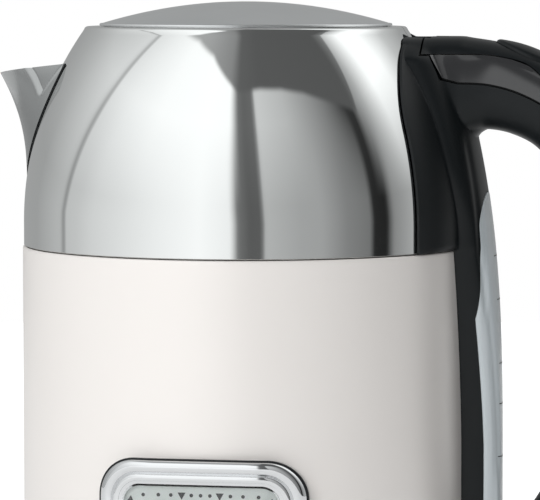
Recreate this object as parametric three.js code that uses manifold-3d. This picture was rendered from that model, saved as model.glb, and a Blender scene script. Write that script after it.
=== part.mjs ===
// Cordless electric kettle: a steel vessel with a painted sleeve, a front gauge, a hollow loop
// handle with a water window, a sprung lid, and a power base with a 360 degree socket.
// Millimetres, +Z up. The origin is on the table under the vessel's axis. The spout points to -X,
// the handle to +X and the gauge to -Y. Everything is drawn seated on the base with the lid shut.

import * as THREE from "three";
import { mergeVertices } from "three/addons/utils/BufferGeometryUtils.js";
import Module from "manifold-3d";

const wasm = await Module();
wasm.setup();

// ---------------------------------------------------------------- driving dimensions

const GAP = 0.3; // between pieces that touch or slide on each other
const ROUND = 36; // sides of the large turned pieces

// Power base
const FOOT_HEIGHT = 2.5;
const FOOT_RADIUS = 6;
const BASE_HEIGHT = 20;
const BASE_OVERHANG = 1.4; // base cover beyond the bright wall
const BASE_WALL = 2;
const SOCKET_RADIUS = 19;
const SOCKET_HEIGHT = 12; // above the base cover
const GLAND_RADIUS = 5.6;
const CORD_BORE = 3.6;

// Vessel
const SHELL_RADIUS = 77.2; // bright wall above the sleeve
const SHELL_WALL = 0.8;
const SLEEVE_WALL = 1.1;
const SLEEVE_PROUD = 0.4; // sleeve beyond the bright wall
const SLEEVE_FOOT_Z = 40;
const SHOULDER_Z = 163.7; // top edge of the sleeve
const STRAIGHT_RISE = 8.3; // bright wall above the sleeve before it turns in
const DOME_RISE = 74.6; // from the sleeve to the end of the dome's arc
const DOME_ARC = 115.7;
const SHELF_RISE = 1.4;
const SHELF_WIDTH = 5;
const LIP_DEPTH = 9;
const SKIRT_FLARE = 1.4;

// Lid
const LID_OVERLAP = 1.5; // lid cap over the mouth's shelf
const LID_CROWN = 7.8;
const LID_WALL = 1;
const PLUG_CLEARANCE = 3.5;

// Lid hinge and its slot in the rim
const HINGE_BEYOND_RIM = 2.5;
const HINGE_BELOW_RIM = 7.3;
const SLOT_HALF = 9.3;
const LID_ARM_HALF = 3.2;
const HUB_RADIUS = 3.4;
const PIN_RADIUS = 1.4;

// Spout
const SPOUT_REACH = 10.6; // tip beyond the bright wall
const SPOUT_TIP_RISE = 59.5; // tip above the sleeve
const SPOUT_ROOT_RISE = 63.3;
const SPOUT_FOOT_RISE = 20.5;
const SPOUT_WALL = 1;
const SPOUT_HALF_ANGLE = 23;

// Gauge
const GAUGE_WIDTH = 70;
const GAUGE_HEIGHT = 48;
const GAUGE_CORNER = 13;
const GAUGE_Z = 74;
const GAUGE_PROUD = 4.8; // bezel's front plane beyond the bright wall
const BEZEL_WIDTH = 8.7;
const PIVOT_BELOW_MIDDLE = 8;
const CUP_RADIUS = 10;

// Handle
const COLUMN_FOOT_Z = 44;
const COLUMN_WAIST = 8.6; // half width low down
const COLUMN_SHOULDER = 18; // half width at the sleeve's edge
const COLUMN_TAPER = 69;
const SPINE_PROUD = 12.9;
const SADDLE_HALF_ANGLE = 31.5;
const SADDLE_SKIN = 1;
const COLLAR_HALF = 17;
const COLLAR_RISE = 72.6; // collar's top above the sleeve's edge
const GRIP_STANDOFF = 53.3; // grip's centreline beyond the bright wall
const WINDOW_HALF = 11;
const WINDOW_WALL = 2.2;

// Moving controls
const BUTTON_TRAVEL = 3;
const BUTTON_LENGTH = 25;
const BUTTON_HALF = 8.5;
const LEVER_HALF = 8;

// ---------------------------------------------------------------- values worked out from them

const BODY_RADIUS = SHELL_RADIUS + SLEEVE_PROUD - SLEEVE_WALL - GAP; // steel behind the sleeve
const SLEEVE_RADIUS = SHELL_RADIUS + SLEEVE_PROUD;
const DOME_START_Z = SHOULDER_Z + STRAIGHT_RISE;
const DOME_TOP_Z = SHOULDER_Z + DOME_RISE;
const SHELF_Z = DOME_TOP_Z + SHELF_RISE;
const TOP_RADIUS = domeRadius(DOME_TOP_Z);
const MOUTH_RADIUS = TOP_RADIUS - SHELF_WIDTH - 2;
const LID_RADIUS = MOUTH_RADIUS + LID_OVERLAP;
const HINGE_X = TOP_RADIUS + HINGE_BEYOND_RIM;
const HINGE_Z = DOME_TOP_Z - HINGE_BELOW_RIM;
const BASE_RADIUS = SHELL_RADIUS + BASE_OVERHANG;
const SOCKET_TOP_Z = BASE_HEIGHT + SOCKET_HEIGHT;
const GAUGE_FRONT_Y = -(SHELL_RADIUS + GAUGE_PROUD);
const PIVOT_Z = GAUGE_Z - PIVOT_BELOW_MIDDLE;
const FLOOR_Z = PIVOT_Z - CUP_RADIUS - 4; // underside of the vessel's floor
const WINDOW_TOP_Z = SHOULDER_Z + 19.3;
const WINDOW_FOOT_Z = COLUMN_FOOT_Z + 22;
const KETTLE_FOOT_Z = BASE_HEIGHT + 2.3;
const ARM_TOP_Z = SHOULDER_Z + COLLAR_RISE;

/** Outside radius of the bright wall at height z: straight, then a circular arc inwards. */
function domeRadius(z) {
  const rise = Math.max(0, z - (SHOULDER_Z + STRAIGHT_RISE));
  return SHELL_RADIUS - DOME_ARC + Math.sqrt(DOME_ARC * DOME_ARC - rise * rise);
}

// ---------------------------------------------------------------- finishes

const FINISH = {
  steel: { color: 0xc4c7c6, roughness: 0.12, metalness: 1 },
  satinSteel: { color: 0xa9adac, roughness: 0.3, metalness: 1 },
  chrome: { color: 0xdadcdc, roughness: 0.06, metalness: 1 },
  brass: { color: 0xc9a648, roughness: 0.3, metalness: 1 },
  paint: { color: 0xece5df, roughness: 0.3, metalness: 0 },
  blackPlastic: { color: 0x1f2123, roughness: 0.42, metalness: 0 },
  glossBlack: { color: 0x131416, roughness: 0.12, metalness: 0 },
  rubber: { color: 0x2b2b2b, roughness: 0.85, metalness: 0 },
  silicone: { color: 0xd8d8d2, roughness: 0.6, metalness: 0 },
  dial: { color: 0xe4e6e2, roughness: 0.5, metalness: 0 },
  needle: { color: 0xb3241c, roughness: 0.4, metalness: 0 },
  clear: { color: 0xb9c2c6, roughness: 0.1, metalness: 0 },
};

// ---------------------------------------------------------------- solid helpers

/** A closed geometry as a manifold solid, its faces turned to point outwards. */
function solid(geometry) {
  const bare = geometry.index ? geometry.toNonIndexed() : geometry.clone();
  bare.deleteAttribute("normal");
  bare.deleteAttribute("uv");
  const merged = mergeVertices(bare, 1e-4);
  const points = merged.attributes.position.array;
  const corners = merged.index.array;
  const kept = [];
  let volume = 0;
  for (let i = 0; i < corners.length; i += 3) {
    const [a, b, c] = [corners[i], corners[i + 1], corners[i + 2]];
    if (a === b || b === c || c === a) continue;
    kept.push(a, b, c);
    const [p, q, r] = [a, b, c].map((k) => new THREE.Vector3().fromArray(points, 3 * k));
    volume += p.dot(q.cross(r));
  }
  if (volume < 0) kept.reverse();
  const vertProperties = Float32Array.from(points);
  const triVerts = Uint32Array.from(kept);
  return new wasm.Manifold(new wasm.Mesh({ numProp: 3, vertProperties, triVerts }));
}

/** A manifold solid as a three.js geometry. */
function geometryOf(body) {
  const made = body.getMesh();
  const geometry = new THREE.BufferGeometry();
  geometry.setAttribute("position", new THREE.BufferAttribute(made.vertProperties, 3));
  geometry.setIndex(new THREE.BufferAttribute(made.triVerts, 1));
  geometry.computeVertexNormals();
  return geometry;
}

const cut = (body, ...tools) => tools.reduce((left, tool) => left.subtract(tool), body);
const join = (body, ...others) => others.reduce((left, other) => left.add(other), body);

/** A named mesh with its own material. */
function piece(name, body, finish) {
  const mesh = new THREE.Mesh(geometryOf(body), new THREE.MeshStandardMaterial(FINISH[finish]));
  mesh.name = name;
  return mesh;
}

/** A named mesh at a place. */
function placed(name, body, finish, x, y, z) {
  const mesh = piece(name, body, finish);
  mesh.position.set(x, y, z);
  return mesh;
}

/** A turned solid about Z from [radius, z] points; a profile off the axis closes on itself. */
function lathe(profile, sides = ROUND) {
  const points = profile.map(([r, z]) => new THREE.Vector2(r, z));
  const onAxis = profile[0][0] === 0 && profile[profile.length - 1][0] === 0;
  if (!onAxis) points.push(points[0].clone());
  return solid(new THREE.LatheGeometry(points, sides).rotateX(Math.PI / 2));
}

const disc = (r, low, high, sides = 24) => lathe([[0, low], [r, low], [r, high], [0, high]], sides);
const tube = (inner, outer, low, high, sides = ROUND) =>
  lathe([[inner, low], [outer, low], [outer, high], [inner, high]], sides);

/** A box from its lowest and highest corners. */
function box([x0, y0, z0], [x1, y1, z1]) {
  const geometry = new THREE.BoxGeometry(x1 - x0, y1 - y0, z1 - z0);
  return solid(geometry.translate((x0 + x1) / 2, (y0 + y1) / 2, (z0 + z1) / 2));
}

/** A shape drawn in X and Z, extruded along Y from y0 to y1. */
function plate(shape, y0, y1, curveSegments = 6) {
  const settings = { depth: y1 - y0, bevelEnabled: false, curveSegments };
  return solid(new THREE.ExtrudeGeometry(shape, settings).rotateX(Math.PI / 2).translate(0, y1, 0));
}

const outline = (points) => new THREE.Shape(points.map(([x, z]) => new THREE.Vector2(x, z)));

/** A rectangle with round corners about (0, middle). */
function roundedRectangle(width, height, corner, middle) {
  const [w, h] = [width / 2, height / 2];
  const shape = new THREE.Shape();
  shape.absarc(w - corner, middle + h - corner, corner, 0, Math.PI / 2);
  shape.absarc(-w + corner, middle + h - corner, corner, Math.PI / 2, Math.PI);
  shape.absarc(-w + corner, middle - h + corner, corner, Math.PI, 1.5 * Math.PI);
  shape.absarc(w - corner, middle - h + corner, corner, 1.5 * Math.PI, 2 * Math.PI);
  return shape;
}

/** A cylinder along Y. */
function cross(r, x, z, y0, y1, sides = 20) {
  const geometry = new THREE.CylinderGeometry(r, r, y1 - y0, sides);
  return solid(geometry.translate(x, (y0 + y1) / 2, z));
}

/** Corners of the quad bands between rows of points, each row a closed ring. */
function bandCorners(rows) {
  const width = rows[0].length;
  const corners = [];
  for (let i = 0; i < rows.length - 1; i++) {
    const [here, next] = [i * width, (i + 1) * width];
    for (let j = 0; j < width; j++) {
      const k = (j + 1) % width;
      corners.push(here + j, here + k, next + k, here + j, next + k, next + j);
    }
  }
  return corners;
}

/** A solid from rows of points and triangles over them. */
function rowsSolid(rows, corners) {
  const positions = rows.flat().flatMap((p) => [p.x, p.y, p.z]);
  const geometry = new THREE.BufferGeometry();
  geometry.setAttribute("position", new THREE.Float32BufferAttribute(positions, 3));
  geometry.setIndex(corners);
  return solid(geometry);
}

/** A solid through rings of points, its two ends closed by fans. */
function loft(rows) {
  const width = rows[0].length;
  const end = (rows.length - 1) * width;
  const corners = bandCorners(rows);
  for (let j = 1; j < width - 1; j++) corners.push(0, j + 1, j, end, end + j, end + j + 1);
  return rowsSolid(rows, corners);
}

/** A solid between two surfaces over the same u and v, each from 0 to 1: a curved panel. */
function panel(outer, inner, uSteps, vSteps) {
  const rows = [];
  for (let i = 0; i <= vSteps; i++) {
    const v = i / vSteps;
    const row = [];
    for (let j = 0; j <= uSteps; j++) row.push(outer(j / uSteps, v));
    for (let j = uSteps; j >= 0; j--) row.push(inner(j / uSteps, v));
    rows.push(row);
  }
  return stripLoft(rows, uSteps);
}

/** A loft whose end caps are strips between the two halves of each row. */
function stripLoft(rows, uSteps) {
  const width = rows[0].length;
  const end = (rows.length - 1) * width;
  const corners = bandCorners(rows);
  for (let j = 0; j < uSteps; j++) {
    const [a, b, c, d] = [j, j + 1, width - 2 - j, width - 1 - j];
    corners.push(a, c, b, a, d, c);
    corners.push(end + a, end + b, end + c, end + a, end + c, end + d);
  }
  return rowsSolid(rows, corners);
}

const polar = (r, angle, z) => new THREE.Vector3(r * Math.cos(angle), r * Math.sin(angle), z);
const mix = (a, b, t) => a + (b - a) * t;
const radians = THREE.MathUtils.degToRad;

/** The steel vessel grown by a clearance, as a full body for cutting what lies against it. */
function vesselBlank(clearance) {
  const wall = [];
  for (let i = 0; i <= 8; i++) {
    const z = mix(DOME_START_Z, DOME_TOP_Z, i / 8);
    wall.push([domeRadius(z) + clearance, z]);
  }
  return lathe([[0, 0], [SLEEVE_RADIUS + clearance, 0], [SLEEVE_RADIUS + clearance, SHOULDER_Z],
    [SHELL_RADIUS + clearance, SHOULDER_Z + GAP], ...wall, [0, DOME_TOP_Z]]);
}

// ---------------------------------------------------------------- power base

const SCREW_ANGLES = [0, 120, 240].map(radians);
const SCREW_CIRCLE = 56;
const FOOT_ANGLES = [60, 180, 300].map(radians);
const FOOT_CIRCLE = SHELL_RADIUS - 13;
const PLATE_LOW_Z = FOOT_HEIGHT + 0.4;
const PLATE_HIGH_Z = PLATE_LOW_Z + 2.4;
const HUB_FLAT_RADIUS = 14;
const GLAND_Z = PLATE_HIGH_Z + GAP + GLAND_RADIUS;

function baseCover() {
  const r = BASE_RADIUS;
  const top = BASE_HEIGHT;
  const profile = [[r - 0.8, PLATE_LOW_Z], [r, 6.5], [r, 13], [r - 1.4, top - 3], [r - 5, top],
    [SOCKET_RADIUS + 2.6, top], [SOCKET_RADIUS + 2.6, top - BASE_WALL], [r - 6, top - BASE_WALL],
    [r - BASE_WALL - 1.4, top - 4.5], [r - BASE_WALL, 13], [r - BASE_WALL, PLATE_LOW_Z]];
  let cover = lathe(profile);
  for (const angle of SCREW_ANGLES) {
    const boss = tube(1.8, 4.2, PLATE_HIGH_Z + GAP, top - BASE_WALL + 0.5, 16);
    const spot = polar(SCREW_CIRCLE, angle, 0);
    cover = cover.add(boss.translate([spot.x, spot.y, 0]));
  }
  return cut(cover, cross(GLAND_RADIUS + GAP, 0, GLAND_Z, r - 6, r + 4));
}

function basePlate() {
  const r = BASE_RADIUS - BASE_WALL - GAP;
  let body = lathe([[0, 0], [HUB_FLAT_RADIUS, 0], [HUB_FLAT_RADIUS + 2, PLATE_LOW_Z],
    [r, PLATE_LOW_Z], [r, PLATE_HIGH_Z], [0, PLATE_HIGH_Z]]);
  for (const angle of FOOT_ANGLES) {
    const spot = polar(FOOT_CIRCLE, angle, 0);
    const seat = disc(FOOT_RADIUS + GAP, PLATE_LOW_Z - 1, PLATE_LOW_Z + 1);
    body = body.subtract(seat.translate([spot.x, spot.y, 0]));
  }
  for (const angle of SCREW_ANGLES) {
    const spot = polar(SCREW_CIRCLE, angle, 0);
    body = body.subtract(disc(1.8, 0, 12, 16).translate([spot.x, spot.y, 0]));
  }
  return body;
}

/** A pan-head screw along Z: its head's underside is at 0 and its shank rises. */
function screw(headRadius, headHeight, shankRadius, length) {
  return lathe([[0, -headHeight], [headRadius * 0.7, -headHeight], [headRadius, -headHeight * 0.4],
    [headRadius, 0], [shankRadius, 0], [shankRadius, length], [0, length]], 10);
}

function baseSocket() {
  const low = PLATE_HIGH_Z + GAP;
  const top = SOCKET_TOP_Z;
  return lathe([[0, low], [SOCKET_RADIUS, low], [SOCKET_RADIUS, top - 1.5],
    [SOCKET_RADIUS - 1.5, top], [12.5, top], [12.5, top - 13], [8.5, top - 13], [8.5, top],
    [3, top], [3, top - 13], [0, top - 13]], 24);
}

function cordGland() {
  const [start, end] = [BASE_RADIUS - 9, BASE_RADIUS + 4];
  const collar = cross(GLAND_RADIUS + 1.6, 0, GLAND_Z, BASE_RADIUS + 0.4, end, 24);
  const body = cross(GLAND_RADIUS, 0, GLAND_Z, start, end, 24).add(collar);
  return body.subtract(cross(CORD_BORE, 0, GLAND_Z, start - 1, end + 1, 24));
}

function powerBase() {
  const group = new THREE.Group();
  group.add(piece("base_cover", baseCover(), "blackPlastic"));
  const trim = tube(BASE_RADIUS + GAP, BASE_RADIUS + 1.3, 7, 10.5);
  const glandGap = box([-GLAND_RADIUS - 2, 0, 0], [GLAND_RADIUS + 2, 2 * BASE_RADIUS, BASE_HEIGHT]);
  group.add(piece("base_trim_ring", trim.subtract(glandGap), "chrome"));
  group.add(piece("base_plate", basePlate(), "blackPlastic"));
  FOOT_ANGLES.forEach((angle, i) => {
    const spot = polar(FOOT_CIRCLE, angle, 0);
    const foot = lathe([[0, 0], [FOOT_RADIUS - 0.6, 0], [FOOT_RADIUS, 0.6],
      [FOOT_RADIUS, PLATE_LOW_Z + 1 - GAP], [0, PLATE_LOW_Z + 1 - GAP]], 20);
    group.add(placed(`base_foot_${i + 1}`, foot, "rubber", spot.x, spot.y, 0));
  });
  SCREW_ANGLES.forEach((angle, i) => {
    const spot = polar(SCREW_CIRCLE, angle, PLATE_LOW_Z - GAP);
    const body = screw(3.2, 1.6, 1.5, 9);
    group.add(placed(`base_screw_${i + 1}`, body, "satinSteel", spot.x, spot.y, spot.z));
  });
  group.add(piece("base_socket", baseSocket(), "blackPlastic"));
  const low = SOCKET_TOP_Z - 13 + GAP;
  group.add(piece("socket_contact_outer", tube(11.6, 12.2, low, low + 9, 18), "brass"));
  group.add(piece("socket_contact_inner", tube(2.2, 2.7, low, low + 9, 16), "brass"));
  group.add(piece("cord_gland", cordGland(), "rubber"));
  return group;
}

/** The loose ring around the socket that centres the kettle and turns with it. */
function centringRing() {
  const [inner, outer] = [SOCKET_RADIUS + 0.5, SOCKET_RADIUS + 5.5];
  const low = BASE_HEIGHT + GAP;
  const ring = lathe([[inner, low], [outer, low], [outer, low + 1.4], [outer - 1.2, low + 2.6],
    [inner, low + 2.6]], 24);
  return ring.subtract(box([outer - 1.5, -2, low - 1], [outer + 1, 2, low + 4]));
}

// ---------------------------------------------------------------- vessel

function bodyShell() {
  const steps = 6;
  const outside = [];
  const inside = [];
  for (let i = 0; i <= steps; i++) {
    const z = mix(DOME_START_Z, DOME_TOP_Z, i / steps);
    outside.push([domeRadius(z), z]);
    inside.unshift([domeRadius(z) - SHELL_WALL, z - (0.6 * SHELL_WALL * i) / steps]);
  }
  const foot = SLEEVE_FOOT_Z + 2;
  const shelfEdge = TOP_RADIUS - 2;
  const lip = SHELF_Z - LIP_DEPTH;
  const profile = [[BODY_RADIUS, foot], [BODY_RADIUS, SHOULDER_Z],
    [SHELL_RADIUS, SHOULDER_Z + 2 * GAP], ...outside, [TOP_RADIUS - 0.7, DOME_TOP_Z + 0.9],
    [shelfEdge, SHELF_Z], [MOUTH_RADIUS, SHELF_Z], [MOUTH_RADIUS, lip],
    [MOUTH_RADIUS + SHELL_WALL, lip], [MOUTH_RADIUS + SHELL_WALL, SHELF_Z - SHELL_WALL],
    [shelfEdge, SHELF_Z - SHELL_WALL], ...inside,
    [SHELL_RADIUS - SHELL_WALL, SHOULDER_Z + 2 * GAP + SHELL_WALL / 2],
    [BODY_RADIUS - SHELL_WALL, SHOULDER_Z + SHELL_WALL / 2], [BODY_RADIUS - SHELL_WALL, foot]];
  const hingeSlot = box([MOUTH_RADIUS - 2, -SLOT_HALF, HINGE_Z - 9.5],
    [SHELL_RADIUS, SLOT_HALF, SHELF_Z + 1]);
  return cut(lathe(profile), hingeSlot, spoutPort(0), gaugePort(CUP_RADIUS + 0.5));
}

/** The pouring hole through the dome behind the spout, shrunk by a margin. */
function spoutPort(margin) {
  const face = (r) => (u, v) => {
    const z = mix(SHOULDER_Z + 29 + margin, SHOULDER_Z + 57.5 - margin, v);
    const half = radians(mix(10.5, 18.5, v)) - margin / SHELL_RADIUS;
    return polar(r(z), Math.PI + mix(-half, half, u), z);
  };
  return panel(face((z) => domeRadius(z) + 4), face((z) => domeRadius(z) - 6), 6, 4);
}

/** A round hole of radius r along Y through the front wall at the gauge's pivot. */
const gaugePort = (r) => cross(r, 0, PIVOT_Z, -SLEEVE_RADIUS - 4, -SLEEVE_RADIUS + 22, 20);

/** Half width of the handle's column where it rises through the sleeve. */
function columnHalf(z) {
  const below = Math.max(0, SHOULDER_Z - z);
  const share = Math.max(0, 1 - below / COLUMN_TAPER);
  return COLUMN_WAIST + (COLUMN_SHOULDER - COLUMN_WAIST) * share ** 1.45;
}

function paintedSleeve() {
  const inner = SLEEVE_RADIUS - SLEEVE_WALL;
  const ring = lathe([[inner, SLEEVE_FOOT_Z], [SLEEVE_RADIUS, SLEEVE_FOOT_Z],
    [SLEEVE_RADIUS, SHOULDER_Z - 0.5], [SLEEVE_RADIUS - 0.4, SHOULDER_Z], [inner, SHOULDER_Z]]);
  const side = [];
  for (let i = 0; i <= 8; i++) {
    const z = mix(COLUMN_FOOT_Z - 0.5, SHOULDER_Z + 1, i / 8);
    side.push([columnHalf(z) + GAP + 0.1, z]);
  }
  const slot = outline([...side, ...side.map(([y, z]) => [-y, z]).reverse()]);
  const cutter = plate(slot, -SLEEVE_RADIUS - 5, -SLEEVE_RADIUS + 25).rotate([0, 0, 90]);
  return cut(ring, cutter, gaugePort(CUP_RADIUS + 0.5));
}

function skirtRing() {
  const top = SLEEVE_FOOT_Z - GAP;
  const foot = KETTLE_FOOT_Z;
  const r = SHELL_RADIUS;
  return lathe([[r - 1, foot], [r + SKIRT_FLARE - 0.8, foot], [r + SKIRT_FLARE, foot + 2],
    [r + SKIRT_FLARE, foot + 6], [r + 0.6, foot + 11], [r + 0.3, top], [r - 1.2, top],
    [r - 1.2, foot + 11], [r - 1, foot + 6]]);
}

const CONNECTOR_RADIUS = SOCKET_RADIUS + 7;

function kettleBottom() {
  const r = BODY_RADIUS - GAP;
  const low = KETTLE_FOOT_Z;
  const high = SLEEVE_FOOT_Z + 2 - GAP;
  let body = lathe([[CONNECTOR_RADIUS + GAP, low], [r - 1.5, low], [r - 0.6, low + 1.5],
    [r - 0.6, high], [r - 2.8, high], [r - 2.8, low + 2.4], [CONNECTOR_RADIUS + GAP, low + 2.4]]);
  for (const angle of SCREW_ANGLES) {
    const spot = polar(SCREW_CIRCLE, angle, 0);
    body = body.subtract(disc(1.8, 0, 40, 16).translate([spot.x, spot.y, 0]));
  }
  return body;
}

function heaterPlate() {
  const r = BODY_RADIUS - SHELL_WALL - GAP;
  const top = FLOOR_Z + 1.2;
  const floor = lathe([[0, FLOOR_Z], [r - 3, FLOOR_Z], [r - 1.2, FLOOR_Z - 2], [r - 1.2, FLOOR_Z - 8],
    [r, FLOOR_Z - 8], [r, FLOOR_Z - 1], [r - 2, top], [0, top]]);
  const hole = disc(STEAM_TUBE_RADIUS + GAP, FLOOR_Z - 5, top + 5);
  return floor.subtract(hole.translate([STEAM_TUBE_X, STEAM_TUBE_Y, 0]));
}

const STEAM_TUBE_RADIUS = 4;
const STEAM_TUBE_X = SHELL_RADIUS - 12.2;
const STEAM_TUBE_Y = 22;

/** The horseshoe heating element under the floor, open towards +Y. */
function heatingElement() {
  const arc = new THREE.EllipseCurve(0, 0, 42, 42, radians(120), radians(420));
  const path = new THREE.CatmullRomCurve3(
    arc.getPoints(12).map((p) => new THREE.Vector3(p.x, p.y, FLOOR_Z - 7.2)));
  const section = new THREE.Shape();
  section.absarc(0, 0, 3.1, 0, 2 * Math.PI);
  const settings = { steps: 18, extrudePath: path, curveSegments: 4 };
  return solid(new THREE.ExtrudeGeometry(section, settings));
}

function kettleConnector() {
  const [low, cavityTop] = [KETTLE_FOOT_Z + 2, SOCKET_TOP_Z + 1.5];
  const r = CONNECTOR_RADIUS;
  const inside = low + 0.4 + GAP;
  const body = lathe([[SOCKET_RADIUS + 1, low], [r, low], [r, inside], [r + 6, inside],
    [r + 6, inside + 2], [r, inside + 2], [r, cavityTop + 3], [2, cavityTop + 3], [2, cavityTop],
    [SOCKET_RADIUS + 1, cavityTop]], 24);
  return body;
}

function controlUnit() {
  const low = SOCKET_TOP_Z + 4.5 + GAP;
  const shape = new THREE.Shape();
  shape.absarc(0, 0, 21, radians(-140), radians(140));
  const settings = { depth: 5.6, bevelEnabled: false, curveSegments: 14 };
  const block = solid(new THREE.ExtrudeGeometry(shape, settings).translate(0, 0, low));
  return block.add(box([-24, -14, low], [-12, 14, low + 4.6]));
}

function vesselGroup() {
  const group = new THREE.Group();
  const connectorTop = SOCKET_TOP_Z + 1.5;
  group.add(piece("body_shell", bodyShell(), "steel"));
  group.add(piece("painted_sleeve", paintedSleeve(), "paint"));
  group.add(piece("skirt_ring", skirtRing(), "chrome"));
  group.add(piece("kettle_bottom", kettleBottom(), "blackPlastic"));
  SCREW_ANGLES.forEach((angle, i) => {
    const spot = polar(SCREW_CIRCLE, angle, KETTLE_FOOT_Z - GAP);
    const body = screw(3, 1.4, 1.5, 10);
    group.add(placed(`bottom_screw_${i + 1}`, body, "satinSteel", spot.x, spot.y, spot.z));
  });
  group.add(piece("heater_plate", heaterPlate(), "satinSteel"));
  const diffuser = tube(9, 54, FLOOR_Z - 3.3, FLOOR_Z - GAP, 24);
  group.add(piece("heat_diffuser", diffuser, "satinSteel"));
  group.add(piece("heating_element", heatingElement(), "satinSteel"));
  group.add(piece("kettle_connector", kettleConnector(), "blackPlastic"));
  const pinTop = connectorTop + 4;
  const pin = disc(1.5, connectorTop - 11, connectorTop + 2.6, 14);
  group.add(piece("connector_pin", pin, "brass"));
  const sleeveContact = tube(9.6, 10.4, connectorTop - 11, connectorTop - GAP, 18);
  group.add(piece("connector_sleeve", sleeveContact, "brass"));
  group.add(piece("control_unit", controlUnit(), "blackPlastic"));
  const bimetal = lathe([[0, pinTop + 5.6], [10, pinTop + 5.1], [10, pinTop + 5.6],
    [0, pinTop + 6.1]], 20);
  group.add(piece("bimetal_disc", bimetal, "brass"));
  const steam = tube(2.8, STEAM_TUBE_RADIUS, FLOOR_Z - 12, SHOULDER_Z + 36, 16);
  group.add(placed("steam_tube", steam, "silicone", STEAM_TUBE_X, STEAM_TUBE_Y, 0));
  return group;
}

// ---------------------------------------------------------------- spout and filter

/** Half angle of the spout's root on the dome, from its pointed foot to its wide rim. */
function spoutHalfAngle(share) {
  return radians(mix(3, SPOUT_HALF_ANGLE, Math.sin((Math.PI / 2) * share ** 0.75) ** 1.15));
}

/** How far the spout's front edge stands beyond the bright wall's straight part. */
const spoutFront = (share) => SHELL_RADIUS + 0.2 + (SPOUT_REACH - 0.2) * share ** 2.2;

/** A point of the spout's wall, u across from -1 to 1 and v up from foot to rim. */
function spoutPoint(u, v, inset) {
  const rim = mix(SPOUT_TIP_RISE, SPOUT_ROOT_RISE, Math.abs(u) ** 1.2);
  const z = SHOULDER_Z + mix(SPOUT_FOOT_RISE, rim, v);
  const seam = domeRadius(z) + GAP + 0.2;
  const half = spoutHalfAngle(v) - inset / SHELL_RADIUS;
  const y = u * seam * Math.sin(half);
  const root = Math.sqrt(seam * seam - y * y);
  const reach = Math.max(0.9, spoutFront(v) - seam) - inset;
  const x = root + Math.max(0.05, reach) * (1 - Math.abs(u) ** 1.35) + (inset ? 0 : 0.55);
  return new THREE.Vector3(-x, y, z);
}

function spout() {
  const outer = (u, v) => spoutPoint(2 * u - 1, v, 0);
  const inner = (u, v) => spoutPoint(2 * u - 1, v, SPOUT_WALL);
  return panel(outer, inner, 12, 8);
}

/** A panel that lies inside the dome behind the pouring hole. */
function filterPanel(depth, wall, low, high, halfLow, halfHigh, steps) {
  const face = (inset) => (u, v) => {
    const z = SHOULDER_Z + mix(low, high, v);
    const half = radians(mix(halfLow, halfHigh, v));
    return polar(domeRadius(z) - SHELL_WALL - inset, Math.PI + mix(-half, half, u), z);
  };
  return panel(face(depth), face(depth + wall), steps, 4);
}

function spoutGroup() {
  const group = new THREE.Group();
  group.add(piece("spout", spout(), "steel"));
  const frame = filterPanel(0.6, 2.6, 26, 61, 13, 22, 6);
  const window = filterPanel(-3, 9, 30, 57, 9.5, 17.5, 6);
  group.add(piece("filter_frame", frame.subtract(window), "blackPlastic"));
  group.add(piece("filter_mesh", filterPanel(1.5, 0.6, 30.4, 56.6, 9, 17, 6), "satinSteel"));
  return group;
}

// ---------------------------------------------------------------- gauge

function gaugeBezel() {
  const front = GAUGE_FRONT_Y;
  const back = front + 24;
  const shape = (inset) => roundedRectangle(GAUGE_WIDTH - 2 * inset, GAUGE_HEIGHT - 2 * inset,
    GAUGE_CORNER - inset * 0.8, GAUGE_Z);
  const block = join(plate(shape(0), front + 1.2, back, 4), plate(shape(1), front + 0.4, back, 4),
    plate(shape(2), front, back, 4));
  const glassSeat = plate(shape(BEZEL_WIDTH - 3), front + 1.1, back + 1, 4);
  return cut(block, plate(shape(BEZEL_WIDTH), front - 1, back, 4), glassSeat, vesselBlank(GAP));
}

function gaugePlate(inset, y0, y1) {
  const shape = roundedRectangle(GAUGE_WIDTH - 2 * inset, GAUGE_HEIGHT - 2 * inset,
    GAUGE_CORNER - inset * 0.8, GAUGE_Z);
  return plate(shape, y0, y1, 4);
}

/** The cup that carries the dial's sensor through the wall, open to the front. */
function gaugeCup() {
  const [mouth, end] = [-SLEEVE_RADIUS + 0.4, -SLEEVE_RADIUS + 14];
  const seat = -BODY_RADIUS + SHELL_WALL + 1.6;
  const body = join(cross(CUP_RADIUS, 0, PIVOT_Z, mouth, end, 20),
    cross(CUP_RADIUS + 2, 0, PIVOT_Z, seat, seat + 1.4, 20));
  return body.subtract(cross(CUP_RADIUS - 1, 0, PIVOT_Z, mouth - 1, end - 1, 20));
}

/** The flat bimetal coil that turns the needle: a strip wound in a spiral. */
function gaugeCoil() {
  const [turns, steps, start, pitch, strip] = [2, 22, 2.6, 1.9, 0.6];
  const side = (offset) => Array.from({ length: steps + 1 }, (_, i) => {
    const angle = (2 * Math.PI * turns * i) / steps;
    const r = start + (pitch * turns * i) / steps + offset;
    return [r * Math.cos(angle), PIVOT_Z + r * Math.sin(angle)];
  });
  const shape = outline([...side(0), ...side(strip).reverse()]);
  return plate(shape, -SLEEVE_RADIUS + 4, -SLEEVE_RADIUS + 9);
}

const NEEDLE_REST = radians(49.2); // left of straight up
const DIAL_Y = GAUGE_FRONT_Y + 3.4;

/** The needle on its shaft, drawn at the dial's second mark. */
function gaugeNeedle() {
  const blade = outline([[-0.9, -5], [0.9, -5], [0.35, 17.5], [-0.35, 17.5]]);
  const needle = join(plate(blade, -0.2, 0.2), cross(2.2, 0, 0, -0.3, 0.4, 16),
    cross(0.8, 0, 0, 0, 9, 10));
  return needle.rotate([0, (-NEEDLE_REST * 180) / Math.PI, 0]);
}

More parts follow.
